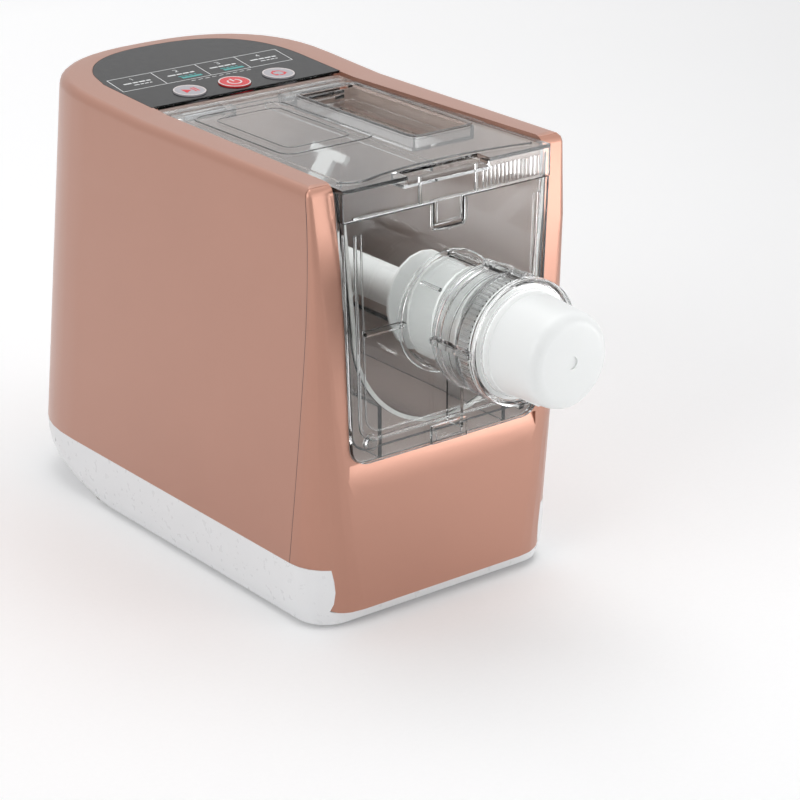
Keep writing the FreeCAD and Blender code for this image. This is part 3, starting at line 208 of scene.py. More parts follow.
@dataclass(frozen=True)
class ClearFinish:
    """A clear moulding: refracting plastic that lets the lamps reach what lies behind it."""

    name: str
    tint: str
    shade: str
    roughness: float = 0.03
    ior: float = 1.4
    flow_mm: float = 22.0
    flow_depth: float = 0.05
    slot: Slot = Slot.CLEAR

    @cache
    def build(self) -> bpy.types.Material:
        """Make the material once and return it each time after.

        Returns:
            The Blender material of this finish.
        """
        material, tree, spot = new_material(self.name)
        flow = add_node(
            tree, "ShaderNodeTexNoise", {"Vector": spot, "Scale": 1 / (self.flow_mm * MM), "Detail": 1.0})
        haze = add_node(
            tree, "ShaderNodeMapRange",
            {"Value": flow.outputs["Fac"], "From Min": 0.3, "From Max": 0.75,
             "To Min": self.roughness * 0.5, "To Max": self.roughness * 2.2})
        bump = add_node(
            tree, "ShaderNodeBump",
            {"Strength": 1.0, "Distance": self.flow_depth * MM, "Height": flow.outputs["Fac"]})
        plastic = add_node(
            tree, "ShaderNodeBsdfPrincipled",
            {"Base Color": linear(self.tint), "Roughness": haze.outputs["Result"], "IOR": self.ior,
             "Transmission Weight": 1.0, "Normal": bump.outputs["Normal"]})
        open_way = add_node(tree, "ShaderNodeBsdfTransparent", {"Color": linear(self.shade)})
        rays = add_node(tree, "ShaderNodeLightPath")
        mix = add_node(
            tree, "ShaderNodeMixShader",
            {0: rays.outputs["Is Shadow Ray"], 1: plastic.outputs["BSDF"], 2: open_way.outputs["BSDF"]})
        add_node(tree, "ShaderNodeOutputMaterial", {"Surface": mix.outputs["Shader"]})
        return material


# Metallic lacquer on moulded ABS: satin, with a fine flake that gives the sides their soft grain
ROSE_PAINT = Finish(
    "rose_metallic_lacquer", "#b3826f", 0.38, metallic=0.7, coat=0.6, coat_roughness=0.34, grain_mm=0.7,
    grain_tone=0.05, grain_depth=0.004, cloud_mm=90.0, cloud_tone=0.03, slot=Slot.COPPER)
# Polished ABS, glossy white with soft reflections
WHITE_ABS = Finish(
    "gloss_white_abs", "#e6e7e8", 0.28, grain_mm=6.0, grain_tone=0.006, grain_depth=0.0004,
    cloud_tone=0.008, rough_spread=0.01)
# Food-safe acetal, white with a satin sheen
WHITE_ACETAL = Finish(
    "satin_white_acetal", "#eceeed", 0.36, grain_mm=1.2, grain_tone=0.008, grain_depth=0.005,
    cloud_tone=0.006, slot=Slot.WHITE)
# Injection-moulded polycarbonate: clear, with faint flow waves in its surface
CLEAR_PC = ClearFinish("clear_polycarbonate", "#fafbfb", "#e9e9e8")
# Thicker clear mouldings scatter a little more and look paler
PALE_PC = ClearFinish(
    "clear_polycarbonate_thick", "#fdfdfd", "#eeeeee", roughness=0.06, flow_mm=9.0, flow_depth=0.08)
# Gloss black acrylic panel
BLACK_PANEL = Finish(
    "gloss_black_acrylic", "#0a0b0b", 0.22, ior=1.38, grain_mm=6.0, grain_tone=0.05, grain_depth=0.001,
    rough_spread=0.02)
# Silk-screened inks
WHITE_INK = Finish("white_screen_ink", "#d8dada", 0.5, grain_tone=0.02, grain_depth=0.002, slot=Slot.WHITE)
TEAL_INK = Finish("teal_screen_ink", "#4a9f9b", 0.5, grain_tone=0.02, grain_depth=0.002, slot=Slot.PANEL)
RED_INK = Finish("red_screen_ink", "#d32531", 0.45, grain_tone=0.02, grain_depth=0.002, slot=Slot.RED)
# Button caps in satin ABS
GREY_CAP = Finish("satin_grey_button", "#a9a7ac", 0.34, grain_tone=0.02, grain_depth=0.004)
RED_CAP = Finish("gloss_red_button", "#d01c27", 0.3, grain_tone=0.02, grain_depth=0.003)
# Bright trims: satin lacquer, paler than the caps
PALE_TRIM = Finish(
    "satin_pale_trim", "#dbd3d1", 0.3, metallic=0.25, grain_tone=0.015, grain_depth=0.004, slot=Slot.GREY)
# Matt structural plastics and metals inside
TAUPE_PP = Finish("satin_taupe_polypropylene", "#c9b3aa", 0.42, grain_tone=0.02, grain_depth=0.006)
# Dark grey elastomer for the bowl's seal; the same dark grey lies in the housing's seam as painted shade
SEAL_AND_SEAM_SHADE = Finish("dark_grey_seal_and_seam_shade", "#3b3a3d", 0.5, grain_tone=0.04, grain_depth=0.01, slot=Slot.SEAL)
# Matt black polypropylene; its black also stands as painted shade in the housing screws' cross recesses
BLACK_PP_AND_RECESS_SHADE = Finish(
    "matt_black_polypropylene_and_recess_shade", "#17171a", 0.5, grain_tone=0.04, grain_depth=0.01, slot=Slot.BLACK)
STEEL = Finish(
    "ground_steel", "#9b9ca0", 0.3, metallic=1.0, grain_tone=0.04, grain_depth=0.004, slot=Slot.STEEL)
IRON = Finish("stacked_lamination_steel", "#5a5b60", 0.45, metallic=1.0, grain_tone=0.06)
BRONZE = Finish("sintered_bronze", "#a9824c", 0.4, metallic=1.0, grain_mm=0.4, grain_tone=0.08)
ALUMINIUM = Finish("drawn_aluminium", "#c9cacc", 0.28, metallic=1.0)
ACETAL_GEAR = Finish("natural_acetal_gear", "#e3ddcd", 0.4, grain_tone=0.02)
GREEN_BOARD = Finish("green_solder_mask", "#0d5a2e", 0.35, grain_mm=1.5, grain_tone=0.1)
RUBBER = Finish(
    "moulded_rubber", "#b9b8b6", 0.7, grain_mm=0.6, grain_tone=0.04, grain_depth=0.02, slot=Slot.FOOT)
SILICONE = Finish("silicone_seal", "#c6c6c3", 0.5, grain_tone=0.02)

NODE_FINISH: dict[str, Finish | ClearFinish] = {
    "outer_shell": ROSE_PAINT, "front_fascia": ROSE_PAINT, "rear_vent": ROSE_PAINT, "base_tray": WHITE_ABS,
    "rubber_feet": RUBBER, "housing_screws": STEEL, "cord_gland": BLACK_PP_AND_RECESS_SHADE, "bay_liner": TAUPE_PP,
    "control_panel": BLACK_PANEL, "button_left": GREY_CAP, "button_centre": RED_CAP, "button_right": GREY_CAP,
    "control_board": GREEN_BOARD, "button_switches": BLACK_PP_AND_RECESS_SHADE, "lid_switch": BLACK_PP_AND_RECESS_SHADE,
    "mixing_bowl": CLEAR_PC,
    "bowl_bush": WHITE_ACETAL, "cover_seal": SILICONE, "hinge_pins": STEEL, "lid": CLEAR_PC,
    "front_cover": CLEAR_PC, "lock_ring": PALE_PC, "die_head": WHITE_ACETAL, "die_plate": WHITE_ACETAL,
    "auger": WHITE_ACETAL, "mixing_paddle": WHITE_ACETAL, "output_gear": ACETAL_GEAR,
    "idler_wheel": ACETAL_GEAR,
    "idler_pinion": STEEL, "motor_pinion": STEEL, "drive_shaft": STEEL, "idler_pin": STEEL,
    "gearbox_housing": BLACK_PP_AND_RECESS_SHADE, "front_bush": BRONZE, "gearbox_cover": BLACK_PP_AND_RECESS_SHADE, "rear_bush": BRONZE,
    "gearbox_screws": STEEL, "motor_can": STEEL, "motor_end_cap": STEEL, "motor_rotor": IRON,
    "motor_fan": BLACK_PP_AND_RECESS_SHADE, "motor_cradle": BLACK_PP_AND_RECESS_SHADE, "power_board": GREEN_BOARD, "motor_capacitor": ALUMINIUM,
    "supply_transformer": IRON,
}


# Mesh building

@cache
def rounding_tree() -> bpy.types.NodeTree:
    """Build the node group that welds loose triangles and shades gentle edges smooth.

    Returns:
        The geometry node group, made once.
    """
    tree, start = start_group("weld_and_shade", {"Weld distance": "Float", "Sharp angle": "Float"})
    joined = add_node(
        tree, "GeometryNodeMergeByDistance",
        {"Geometry": start.outputs["Geometry"], "Distance": start.outputs["Weld distance"]})
    smooth = add_node(
        tree, "GeometryNodeSetShadeSmooth",
        {"Geometry": joined.outputs["Geometry"], "Shade Smooth": True}, domain="FACE")
    angle = add_node(tree, "GeometryNodeInputMeshEdgeAngle")
    crease = add_node(
        tree, "FunctionNodeCompare",
        {0: angle.outputs["Unsigned Angle"], 1: start.outputs["Sharp angle"]}, data_type="FLOAT",
        operation="GREATER_THAN")
    edged = add_node(
        tree, "GeometryNodeSetShadeSmooth",
        {"Geometry": smooth.outputs["Geometry"], "Selection": crease.outputs["Result"],
         "Shade Smooth": False}, domain="EDGE")
    add_node(tree, "NodeGroupOutput", {"Geometry": edged.outputs["Geometry"]})
    return tree


def set_inputs(modifier: bpy.types.Modifier, values: dict[str, Any]) -> None:
    """Give a node modifier's named inputs their values, by socket identifier.

    Args:
        modifier: Modifier that holds the node group.
        values: Input name to value.
    """
    for item in modifier.node_group.interface.items_tree:
        if item.item_type == "SOCKET" and item.in_out == "INPUT" and item.name in values:
            modifier[item.identifier] = values[item.name]


def soften(piece: bpy.types.Object, edge_mm: float = 0.0) -> None:
    """Weld and shade a piece smooth, and round its sharp edges where a width is given.

    Args:
        piece: Construction node or new piece.
        edge_mm: Width of the rounding on sharp edges, or zero for none.
    """
    weld = piece.modifiers.new("weld_and_shade", "NODES")
    weld.node_group = rounding_tree()
    set_inputs(weld, {"Weld distance": WELD_MM * MM, "Sharp angle": SHADE_ANGLE})
    if edge_mm:
        bevel = piece.modifiers.new("edge_rounding", "BEVEL")
        bevel.width = edge_mm * MM
        bevel.segments = 2
        bevel.limit_method = "ANGLE"
        bevel.angle_limit = BEVEL_ANGLE
        bevel.use_clamp_overlap = True
        level = piece.modifiers.new("level_normals", "WEIGHTED_NORMAL")
        level.keep_sharp = False


def place_piece(name: str, mesh: bpy.types.Mesh, finish: Finish | ClearFinish, body: str) -> None:
    """Link one finished mesh as a piece that rides on a body.

    Args:
        name: Name of the piece.
        mesh: Its mesh, in the frame's metres.
        finish: Surface finish.
        body: Body that it rides on.
    """
    piece = bpy.data.objects.new(name, mesh)
    bpy.context.scene.collection.objects.link(piece)
    mesh.materials.clear()
    mesh.materials.append(finish.build())
    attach(piece, body)
    LOG.info("built %s on %s", name, body)


@dataclass
class Moulding:
    """Mesh under construction: prisms, swept beads and rings gathered into one piece."""

    name: str

    def __post_init__(self) -> None:
        """Start with an empty mesh."""
        self.shape = bmesh.new()

    def prism(self, low: Sequence[Vector], high: Sequence[Vector]) -> None:
        """Add a closed prism between two outlines of the same number of corners.

        Args:
            low: Corners of one end.
            high: Corners of the other end, in the same order.
        """
        first = [self.shape.verts.new(spot) for spot in low]
        last = [self.shape.verts.new(spot) for spot in high]
        count = len(first)
        self.shape.faces.new(first[::-1])
        self.shape.faces.new(last)
        for index in range(count):
            after = (index + 1) % count
            self.shape.faces.new((first[index], first[after], last[after], last[index]))

    def block(self, left: float, right: float, front: float, back: float, low: float, high: float,
              draft: float = 0.0) -> None:
        """Add a block in millimetres, narrower at its top by a draft.

        Args:
            left: Left side.
            right: Right side.
            front: Front side.
            back: Back side.
            low: Bottom.
            high: Top.
            draft: How far each side leans in at the top.
        """
        base = [at(left, front, low), at(right, front, low), at(right, back, low), at(left, back, low)]
        roof = [at(left + draft, front + draft, high), at(right - draft, front + draft, high),
                at(right - draft, back - draft, high), at(left + draft, back - draft, high)]
        self.prism(base, roof)

    def bead(self, path: Sequence[Vector], radius_mm: float, closed: bool = False, sides: int = 8,
             flat: float = 1.0, normal: Vector = ALONG_Z) -> None:
        """Sweep a round or flattened bead along a path.

        Args:
            path: Points along the middle of the bead.
            radius_mm: Half of its width.
            closed: Whether the path comes back to its start.
            sides: Number of sides of its section.
            flat: Height of the section as a share of its width.
            normal: Direction in which the section is flattened.
        """
        count = len(path)
        rings = []
        for index, spot in enumerate(path):
            before = path[index - 1] if closed or index else spot
            after = path[(index + 1) % count] if closed or index < count - 1 else spot
            along = (after - before).normalized()
            across = along.cross(normal).normalized()
            rise = across.cross(along).normalized()
            rings.append([self.shape.verts.new(spot + across * math.cos(turn) * radius_mm * MM
                                               + rise * math.sin(turn) * radius_mm * flat * MM)
                          for turn in (2 * math.pi * side / sides for side in range(sides))])
        pairs = list(zip(rings, rings[1:])) + ([(rings[-1], rings[0])] if closed else [])
        for here, ahead in pairs:
            for side in range(sides):
                after = (side + 1) % sides
                self.shape.faces.new((here[side], here[after], ahead[after], ahead[side]))
        if not closed:
            self.shape.faces.new(rings[0])
            self.shape.faces.new(rings[-1][::-1])

    def lathe(self, profile: Sequence[Flat], steps: int = 96) -> None:
        """Turn a closed profile about the extruder's axis.

        Args:
            profile: Depth and radius pairs in millimetres, depth from the housing's front edge.
            steps: Number of steps round the axis.
        """
        rings = []
        for step in range(steps):
            turn = 2 * math.pi * step / steps
            across, rise = math.cos(turn), math.sin(turn)
            spots = [at(radius * across, depth, AXIS + radius * rise) for depth, radius in profile]
            rings.append([self.shape.verts.new(spot) for spot in spots])
        count = len(profile)
        for step in range(steps):
            here, ahead = rings[step], rings[(step + 1) % steps]
            for index in range(count):
                after = (index + 1) % count
                self.shape.faces.new((here[index], here[after], ahead[after], ahead[index]))

    def place(self, finish: Finish | ClearFinish, body: str) -> None:
        """Point the faces outwards, shade gentle edges smooth and link the piece to a body.

        Args:
            finish: Surface finish.
            body: Body that it rides on.
        """
        bmesh.ops.recalc_face_normals(self.shape, faces=self.shape.faces)
        for face in self.shape.faces:
            face.smooth = True
        for edge in self.shape.edges:
            if len(edge.link_faces) == 2 and edge.calc_face_angle(0.0) > CREASE_ANGLE:
                edge.smooth = False
        mesh = bpy.data.meshes.new(self.name)
        self.shape.to_mesh(mesh)
        self.shape.free()
        place_piece(self.name, mesh, finish, body)


# Node groups for what repeats

def start_group(name: str, inputs: dict[str, str]) -> tuple[bpy.types.NodeTree, bpy.types.Node]:
    """Start a geometry node group with named inputs.

    Args:
        name: Name of the group.
        inputs: Input name to the kind of its socket.

    Returns:
        The tree and its input node.
    """
    tree = bpy.data.node_groups.new(name, "GeometryNodeTree")
    tree.interface.new_socket("Geometry", in_out="OUTPUT", socket_type="NodeSocketGeometry")
    for label, kind in ({"Geometry": "Geometry"} | inputs).items():
        tree.interface.new_socket(label, in_out="INPUT", socket_type=f"NodeSocket{kind}")
    return tree, add_node(tree, "NodeGroupInput")


def end_group(tree: bpy.types.NodeTree, start: bpy.types.Node,
              shape: bpy.types.NodeSocket) -> bpy.types.NodeTree:
    """Realise a group's instances and set its finish.

    Args:
        tree: The group.
        start: Its input node, with an input named Finish.
        shape: Socket that carries the geometry.

    Returns:
        The finished group.
    """
    real = add_node(tree, "GeometryNodeRealizeInstances", {0: shape})
    dressed = add_node(
        tree, "GeometryNodeSetMaterial", {"Geometry": real.outputs[0], "Material": start.outputs["Finish"]})
    add_node(tree, "NodeGroupOutput", {0: dressed.outputs[0]})
    return tree


@cache
def rib_row_group() -> bpy.types.NodeTree:
    """Build the group that sets equal ribs in a row at a fixed pitch.

    Returns:
        The geometry node group, made once.
    """
    tree, start = start_group(
        "rib_row",
        {"Count": "Int", "First": "Vector", "Step": "Vector", "Size": "Vector", "Finish": "Material"})
    row = add_node(
        tree, "GeometryNodeMeshLine",
        {"Count": start.outputs["Count"], "Start Location": start.outputs["First"],
         "Offset": start.outputs["Step"]}, mode="OFFSET")
    rib = add_node(tree, "GeometryNodeMeshCube", {"Size": start.outputs["Size"]})
    ribs = add_node(
        tree, "GeometryNodeInstanceOnPoints",
        {"Points": row.outputs["Mesh"], "Instance": rib.outputs["Mesh"]})
    return end_group(tree, start, ribs.outputs["Instances"])


@cache
def nub_ring_group() -> bpy.types.NodeTree:
    """Build the group that sets equal nubs round a circle about an axis along Y.

    Returns:
        The geometry node group, made once.
    """
    tree, start = start_group(
        "nub_ring",
        {"Count": "Int", "Radius": "Float", "Centre": "Vector", "Size": "Vector", "Finish": "Material"})
    circle = add_node(
        tree, "GeometryNodeMeshCircle",
        {"Vertices": start.outputs["Count"], "Radius": start.outputs["Radius"]})
    nub = add_node(tree, "GeometryNodeMeshCube", {"Size": start.outputs["Size"]})
    place = add_node(tree, "GeometryNodeInputPosition")
    turn = add_node(
        tree, "FunctionNodeAlignRotationToVector", {"Vector": place.outputs["Position"]}, axis="X")
    nubs = add_node(
        tree, "GeometryNodeInstanceOnPoints",
        {"Points": circle.outputs["Mesh"], "Instance": nub.outputs["Mesh"],
         "Rotation": turn.outputs["Rotation"]})
    upright = add_node(
        tree, "GeometryNodeTransform",
        {"Geometry": nubs.outputs["Instances"], "Rotation": (math.pi / 2, 0.0, 0.0),
         "Translation": start.outputs["Centre"]})
    return end_group(tree, start, upright.outputs["Geometry"])


@cache
def thread_group() -> bpy.types.NodeTree:
    """Build the group that winds a raised thread about an axis along Y.

    Returns:
        The geometry node group, made once.
    """
    tree, start = start_group(
        "raised_thread",
        {"Turns": "Float", "Radius": "Float", "Length": "Float", "Width": "Float", "Height": "Float",
         "Centre": "Vector", "Finish": "Material"})
    coil = add_node(
        tree, "GeometryNodeCurveSpiral",
        {"Resolution": 72, "Rotations": start.outputs["Turns"], "Start Radius": start.outputs["Radius"],
         "End Radius": start.outputs["Radius"], "Height": start.outputs["Length"]})
    section = add_node(
        tree, "GeometryNodeCurvePrimitiveQuadrilateral",
        {"Width": start.outputs["Height"], "Height": start.outputs["Width"]})
    solid = add_node(
        tree, "GeometryNodeCurveToMesh",
        {"Curve": coil.outputs["Curve"], "Profile Curve": section.outputs["Curve"], "Fill Caps": True})
    upright = add_node(
        tree, "GeometryNodeTransform",
        {"Geometry": solid.outputs["Mesh"], "Rotation": (math.pi / 2, 0.0, 0.0),
         "Translation": start.outputs["Centre"]})
    return end_group(tree, start, upright.outputs["Geometry"])


@cache
def cross_marks_group() -> bpy.types.NodeTree:
    """Build the group that sets a flat cross on each point of the carrier mesh; in black it is painted shade
    of a screw's cross recess.

    Returns:
        The geometry node group, made once.
    """
    tree, start = start_group("cross_marks", {"Arm": "Vector", "Cross arm": "Vector", "Finish": "Material"})
    arm = add_node(tree, "GeometryNodeMeshCube", {"Size": start.outputs["Arm"]})
    other = add_node(tree, "GeometryNodeMeshCube", {"Size": start.outputs["Cross arm"]})
    both = add_node(tree, "GeometryNodeJoinGeometry")
    tree.links.new(arm.outputs["Mesh"], both.inputs[0])
    tree.links.new(other.outputs["Mesh"], both.inputs[0])
    spots = add_node(tree, "GeometryNodeMeshToPoints", {"Mesh": start.outputs["Geometry"]})
    marks = add_node(
        tree, "GeometryNodeInstanceOnPoints",
        {"Points": spots.outputs["Points"], "Instance": both.outputs["Geometry"]})
    return end_group(tree, start, marks.outputs["Instances"])


def grow(name: str, tree: bpy.types.NodeTree, values: dict[str, Any], finish: Finish | ClearFinish, body: str,
         spots: Sequence[Vector] = ()) -> None:
    """Run a node group and keep its result as one plain piece.

    Args:
        name: Name of the piece.
        tree: Geometry node group.
        values: Input name to value.
        finish: Surface finish.
        body: Body that it rides on.
        spots: Points of the carrier mesh, where the group reads them.
    """
    seed = bpy.data.meshes.new(name + "_seed")
    seed.from_pydata([tuple(spot) for spot in spots], [], [])
    carrier = bpy.data.objects.new(name + "_carrier", seed)
    bpy.context.scene.collection.objects.link(carrier)
    modifier = carrier.modifiers.new(tree.name, "NODES")
    modifier.node_group = tree
    set_inputs(modifier, values | {"Finish": finish.build()})
    graph = bpy.context.evaluated_depsgraph_get()
    mesh = bpy.data.meshes.new_from_object(carrier.evaluated_get(graph))
    mesh.name = name
    bpy.data.objects.remove(carrier)
    place_piece(name, mesh, finish, body)


# Paths that several pieces share

def circle(centre: Vector, radius_mm: float, steps: int, upright: bool = False) -> list[Vector]:
    """Go round a circle.

    Args:
        centre: Middle of the circle, in metres.
        radius_mm: Its radius.
        steps: Number of points.
        upright: Whether it stands across Y in place of lying flat.

    Returns:
        The points in order.
    """
    other = ALONG_Z if upright else ALONG_Y
    turns = [2 * math.pi * step / steps for step in range(steps)]
    return [centre + (ALONG_X * math.cos(turn) + other * math.sin(turn)) * radius_mm * MM for turn in turns]


def u_path(side: Sequence[Flat], corner: float, depth: float) -> list[Vector]:
    """Follow a U across Y: down the right side, round both lower corners and up the left.

    Args:
        side: Half width and height of points down the right side, the last where the corner starts.
        corner: Radius of the lower corners.
        depth: Depth of the plane.

    Returns:
        The points in order.
    """
    half, height = side[-1]
    right = list(side)
    for step in range(1, CORNER_STEPS + 1):
        turn = math.pi / 2 * step / CORNER_STEPS
        right.append((half - corner * (1 - math.cos(turn)), height - corner * math.sin(turn)))
    left = [(-x, z) for x, z in reversed(right)]
    return [at(x, depth, z) for x, z in right + left]


@dataclass(frozen=True)
class RibRow:
    """Row of equal ribs, with its places and sizes in millimetres."""

    name: str
    count: int
    first: Triple
    step: Triple
    size: Triple

    def build(self, finish: ClearFinish, body: str) -> None:
        """Set the ribs on a body.

        Args:
            finish: Surface finish.
            body: Body that they ride on.
        """
        grow(
            self.name, rib_row_group(),
            {"Count": self.count, "First": at(*self.first), "Step": Vector(self.step) * MM,
             "Size": Vector(self.size) * MM}, finish, body)


# Sub-assemblies

@dataclass
class Housing:
    """Lacquered shell and fascia over the white base, with the seam, vent and feet."""

    half_width: float = 100.0
    roof: float = 288.0
    base_height: float = 43.0
    face_reach: float = 7.3
    face_rake: float = 5.8
    rake_height: float = 190.0
    corner_top: float = 3.0
    corner_gain: float = 28.0
    corner_power: float = 1.3
    # Radius of the dark bead in the seam, which is painted shade
    dark_bead_radius: float = 0.8
    seam_steps: int = 24
    back_depth: float = 377.0
    back_lean: float = 0.15
    back_bulge: float = 89.0
    back_power: float = 2.5
    vent_low: float = 84.0
    vent_pitch: float = 8.0
    vent_half: float = 29.0
    vent_slots: int = 7
    louvre_radius: float = 0.9
    screw_inset: float = 3.6
    cross_size: Triple = (4.2, 0.9, 0.5)
    foot_radius: float = 9.0
    tread_radii: Triple = (3.0, 5.5, 8.0)
    tread_radius: float = 0.3

    def seam_depth(self, height: float) -> float:
        """Find the depth of the seam between fascia and shell.

        Args:
            height: Height above the floor, in millimetres.

        Returns:
            The depth behind the housing's front edge.
        """
        drop = max(0.0, (self.roof - height) / (self.roof - self.base_height))
        rake = self.face_rake * max(0.0, (height - self.rake_height) / 100) ** 2
        return rake - self.face_reach + self.corner_top + self.corner_gain * drop ** self.corner_power

    def seam(self) -> None:
        """Lay a dark bead in the seam on both sides, as painted shade of the gap between fascia and shell."""
        foot = self.base_height + 1
        heights = [foot + (self.roof - foot) * step / self.seam_steps for step in range(self.seam_steps + 1)]
        # Painted shade: a dark bead where the seam's gap falls into shadow
        work = Moulding("seam_shade_bead")
        for side in (-1, 1):
            across = side * (self.half_width - self.dark_bead_radius)
            work.bead(
                [at(across, self.seam_depth(z), z) for z in heights], self.dark_bead_radius, normal=ALONG_X)
        work.place(SEAL_AND_SEAM_SHADE, "machine")

    def vent(self) -> None:
        """Set a curved louvre lip over each slot of the rear vent."""
        work = Moulding("vent_louvres")
        for slot in range(self.vent_slots):
            height = self.vent_low + self.vent_pitch * (slot + 1.25)
            path = []
            for step in range(-8, 9):
                side = self.vent_half * step / 8
                share = (1 - abs(side / self.half_width) ** self.back_power) ** (1 / self.back_power)
                depth = self.back_depth - self.back_bulge * (1 - share) - self.back_lean * height + 0.1
                path.append(at(side, depth, height))
            work.bead(path, self.louvre_radius, flat=0.8)
        work.place(ROSE_PAINT, "machine")

    def underside(self) -> None:
        """Set black crosses on the housing screws as painted shade of their cross recesses, and tread rings
        on the feet.
        """
        low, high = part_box("housing_screws")
        inset = self.screw_inset * MM
        spots = [Vector((x, y, low.z + 0.1 * MM)) for x in (low.x + inset, high.x - inset)
                 for y in (low.y + inset, high.y - inset)]
        arm = Vector(self.cross_size) * MM
        # Painted shade: black crosses where the screws' cross recesses would be dark
        grow(
            "screw_recess_shade", cross_marks_group(),
            {"Arm": arm, "Cross arm": Vector((arm.y, arm.x, arm.z))}, BLACK_PP_AND_RECESS_SHADE, "machine", spots)
        low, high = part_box("rubber_feet")
        reach = self.foot_radius * MM
        work = Moulding("foot_treads")
        for x in (low.x + reach, high.x - reach):
            for y in (low.y + reach, high.y - reach):
                for radius in self.tread_radii:
                    centre = Vector((x, y, low.z + self.tread_radius * MM))
                    work.bead(circle(centre, radius, 24), self.tread_radius, closed=True, sides=6)
        work.place(RUBBER, "machine")

    def build(self) -> None:
        """Smooth the housing's nodes and add its details."""
        for name in ("outer_shell", "front_fascia"):
            soften(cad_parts[name], 0.5)
        for name in ("base_tray", "rear_vent", "bay_liner"):
            soften(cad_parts[name], 0.3)
        self.seam()
        self.vent()
        self.underside()


@dataclass
class ControlPanel:
    """Printed black panel with three lit-look buttons on the sloped part of the top."""

    top_height: float = 294.0
    rise_start: float = 185.0
    slope: float = 8.0 / (377.0 - 0.15 * 294.0 - 185.0)
    row: float = 218.0
    pitch: float = 36.0
    radius: float = 11.0
    proud: float = 0.9
    cell_edges: tuple[float, ...] = (-70.0, -35.5, 0.0, 32.5, 67.0)
    cell_front: float = 240.0
    cell_back: float = 266.0
    cell_slant: float = 3.5
    cell_line: float = 0.6
    digit_height: float = 4.2
    digit_line: float = 0.55
    rim_radius: float = 0.5
    mark_reach: float = 4.4
    ink: float = 0.05

    def surface(self, side: float, depth: float, above: float) -> Vector:
        """Place a point over the sloped top.

        Args:
            side: Distance to the right of the middle, in millimetres.
            depth: Distance behind the housing's front edge.
            above: Height above the slope.

        Returns:
            The place in the frame.
        """
        return at(side, depth, self.top_height + self.slope * (depth - self.rise_start) + above)

    def area(self, work: Moulding, corners: Sequence[Flat], low: float) -> None:
        """Print one filled outline.

        Args:
            work: Mesh that takes it.
            corners: Outline in millimetres, anticlockwise.
            low: Height of the surface above the sloped top.
        """
        work.prism([self.surface(x, y, low) for x, y in corners],
                   [self.surface(x, y, low + self.ink) for x, y in corners])

    def line(self, work: Moulding, start: Flat, end: Flat, width: float, low: float = 0.0) -> None:
        """Print one straight line.

        Args:
            work: Mesh that takes it.
            start: First end in millimetres.
            end: Other end.
            width: Width of the line.
            low: Height of the surface above the sloped top.
        """
        reach = math.hypot(end[0] - start[0], end[1] - start[1])
        x, y = (-(end[1] - start[1]) / reach * width / 2, (end[0] - start[0]) / reach * width / 2)
        self.area(work, [(start[0] - x, start[1] - y), (end[0] - x, end[1] - y), (end[0] + x, end[1] + y),
                         (start[0] + x, start[1] + y)], low)

    def arc(self, work: Moulding, centre: Flat, radius: float, width: float, turn: Flat, low: float,
            steps: int = 28) -> None:
        """Print part of a ring.

        Args:
            work: Mesh that takes it.
            centre: Middle of the ring in millimetres.
            radius: Radius of its middle line.
            width: Width of the line.
            turn: First and last angle in degrees.
            low: Height of the surface above the sloped top.
            steps: Number of straight stretches.
        """
        angles = [math.radians(turn[0] + (turn[1] - turn[0]) * step / steps) for step in range(steps + 1)]
        spots = [(centre[0] + radius * math.cos(a), centre[1] + radius * math.sin(a)) for a in angles]
        for start, end in zip(spots, spots[1:]):
            self.line(work, start, end, width, low)

    def digit(self, work: Moulding, value: int, left: float, front: float) -> None:
        """Print one plain digit as straight strokes.

        Args:
            work: Mesh that takes it.
            value: Digit from one to four.
            left: Left side in millimetres.
            front: Front side.
        """
        size = self.digit_height
        wide = size * 0.55
        bars = {
            1: [((wide / 2, 0), (wide / 2, size)), ((wide * 0.1, size * 0.75), (wide / 2, size))],
            2: [((0, size), (wide, size)), ((wide, size), (wide, size / 2)), ((wide, size / 2), (0, 0)),
                ((0, 0), (wide, 0))],
            3: [((0, size), (wide, size)), ((wide, size), (wide, 0)), ((wide, 0), (0, 0)),
                ((wide * 0.3, size / 2), (wide, size / 2))],
            4: [((wide * 0.8, 0), (wide * 0.8, size)), ((wide * 0.8, size), (0, size * 0.35)),
                ((0, size * 0.35), (wide, size * 0.35))],
        }[value]
        for (x, y), (end_x, end_y) in bars:
            self.line(work, (left + x, front + y), (left + end_x, front + end_y), self.digit_line)

    def cells(self) -> None:
        """Print the row of slanted cells with digits, index bars and accents."""
        white, teal = Moulding("panel_white_print"), Moulding("panel_teal_print")
        for edge in self.cell_edges:
            self.line(white, (edge - self.cell_slant, self.cell_front), (edge, self.cell_back),
                      self.cell_line)
        first, last = self.cell_edges[0], self.cell_edges[-1]
        for depth, shift in ((self.cell_back, 0.0), (self.cell_front, self.cell_slant)):
            self.line(white, (first - shift, depth), (last - shift, depth), self.cell_line)
        for index, (left, right) in enumerate(zip(self.cell_edges, self.cell_edges[1:])):
            middle = (left + right) / 2 - self.cell_slant / 2
            accented = index in (1, 2)
            self.digit(white, index + 1, middle - 1.0, self.cell_back - 8.0)
            self.bars(white, middle, 11.0, self.cell_back - 13.0, 1.9)
            self.bars(teal if accented else white, middle + 2.0, 7.5, self.cell_back - 17.6, 1.2)
            if accented:
                depth = self.cell_back - 21.05
                self.line(teal, (middle - 4.5, depth), (middle + 11.5, depth), 2.9)
        for step in range(9):
            side = -22.0 + step * 5.6
            self.line(white, (side, self.cell_front - 3.4), (side + 3.4, self.cell_front - 3.4), 0.7)
        white.place(WHITE_INK, "machine")
        teal.place(TEAL_INK, "machine")

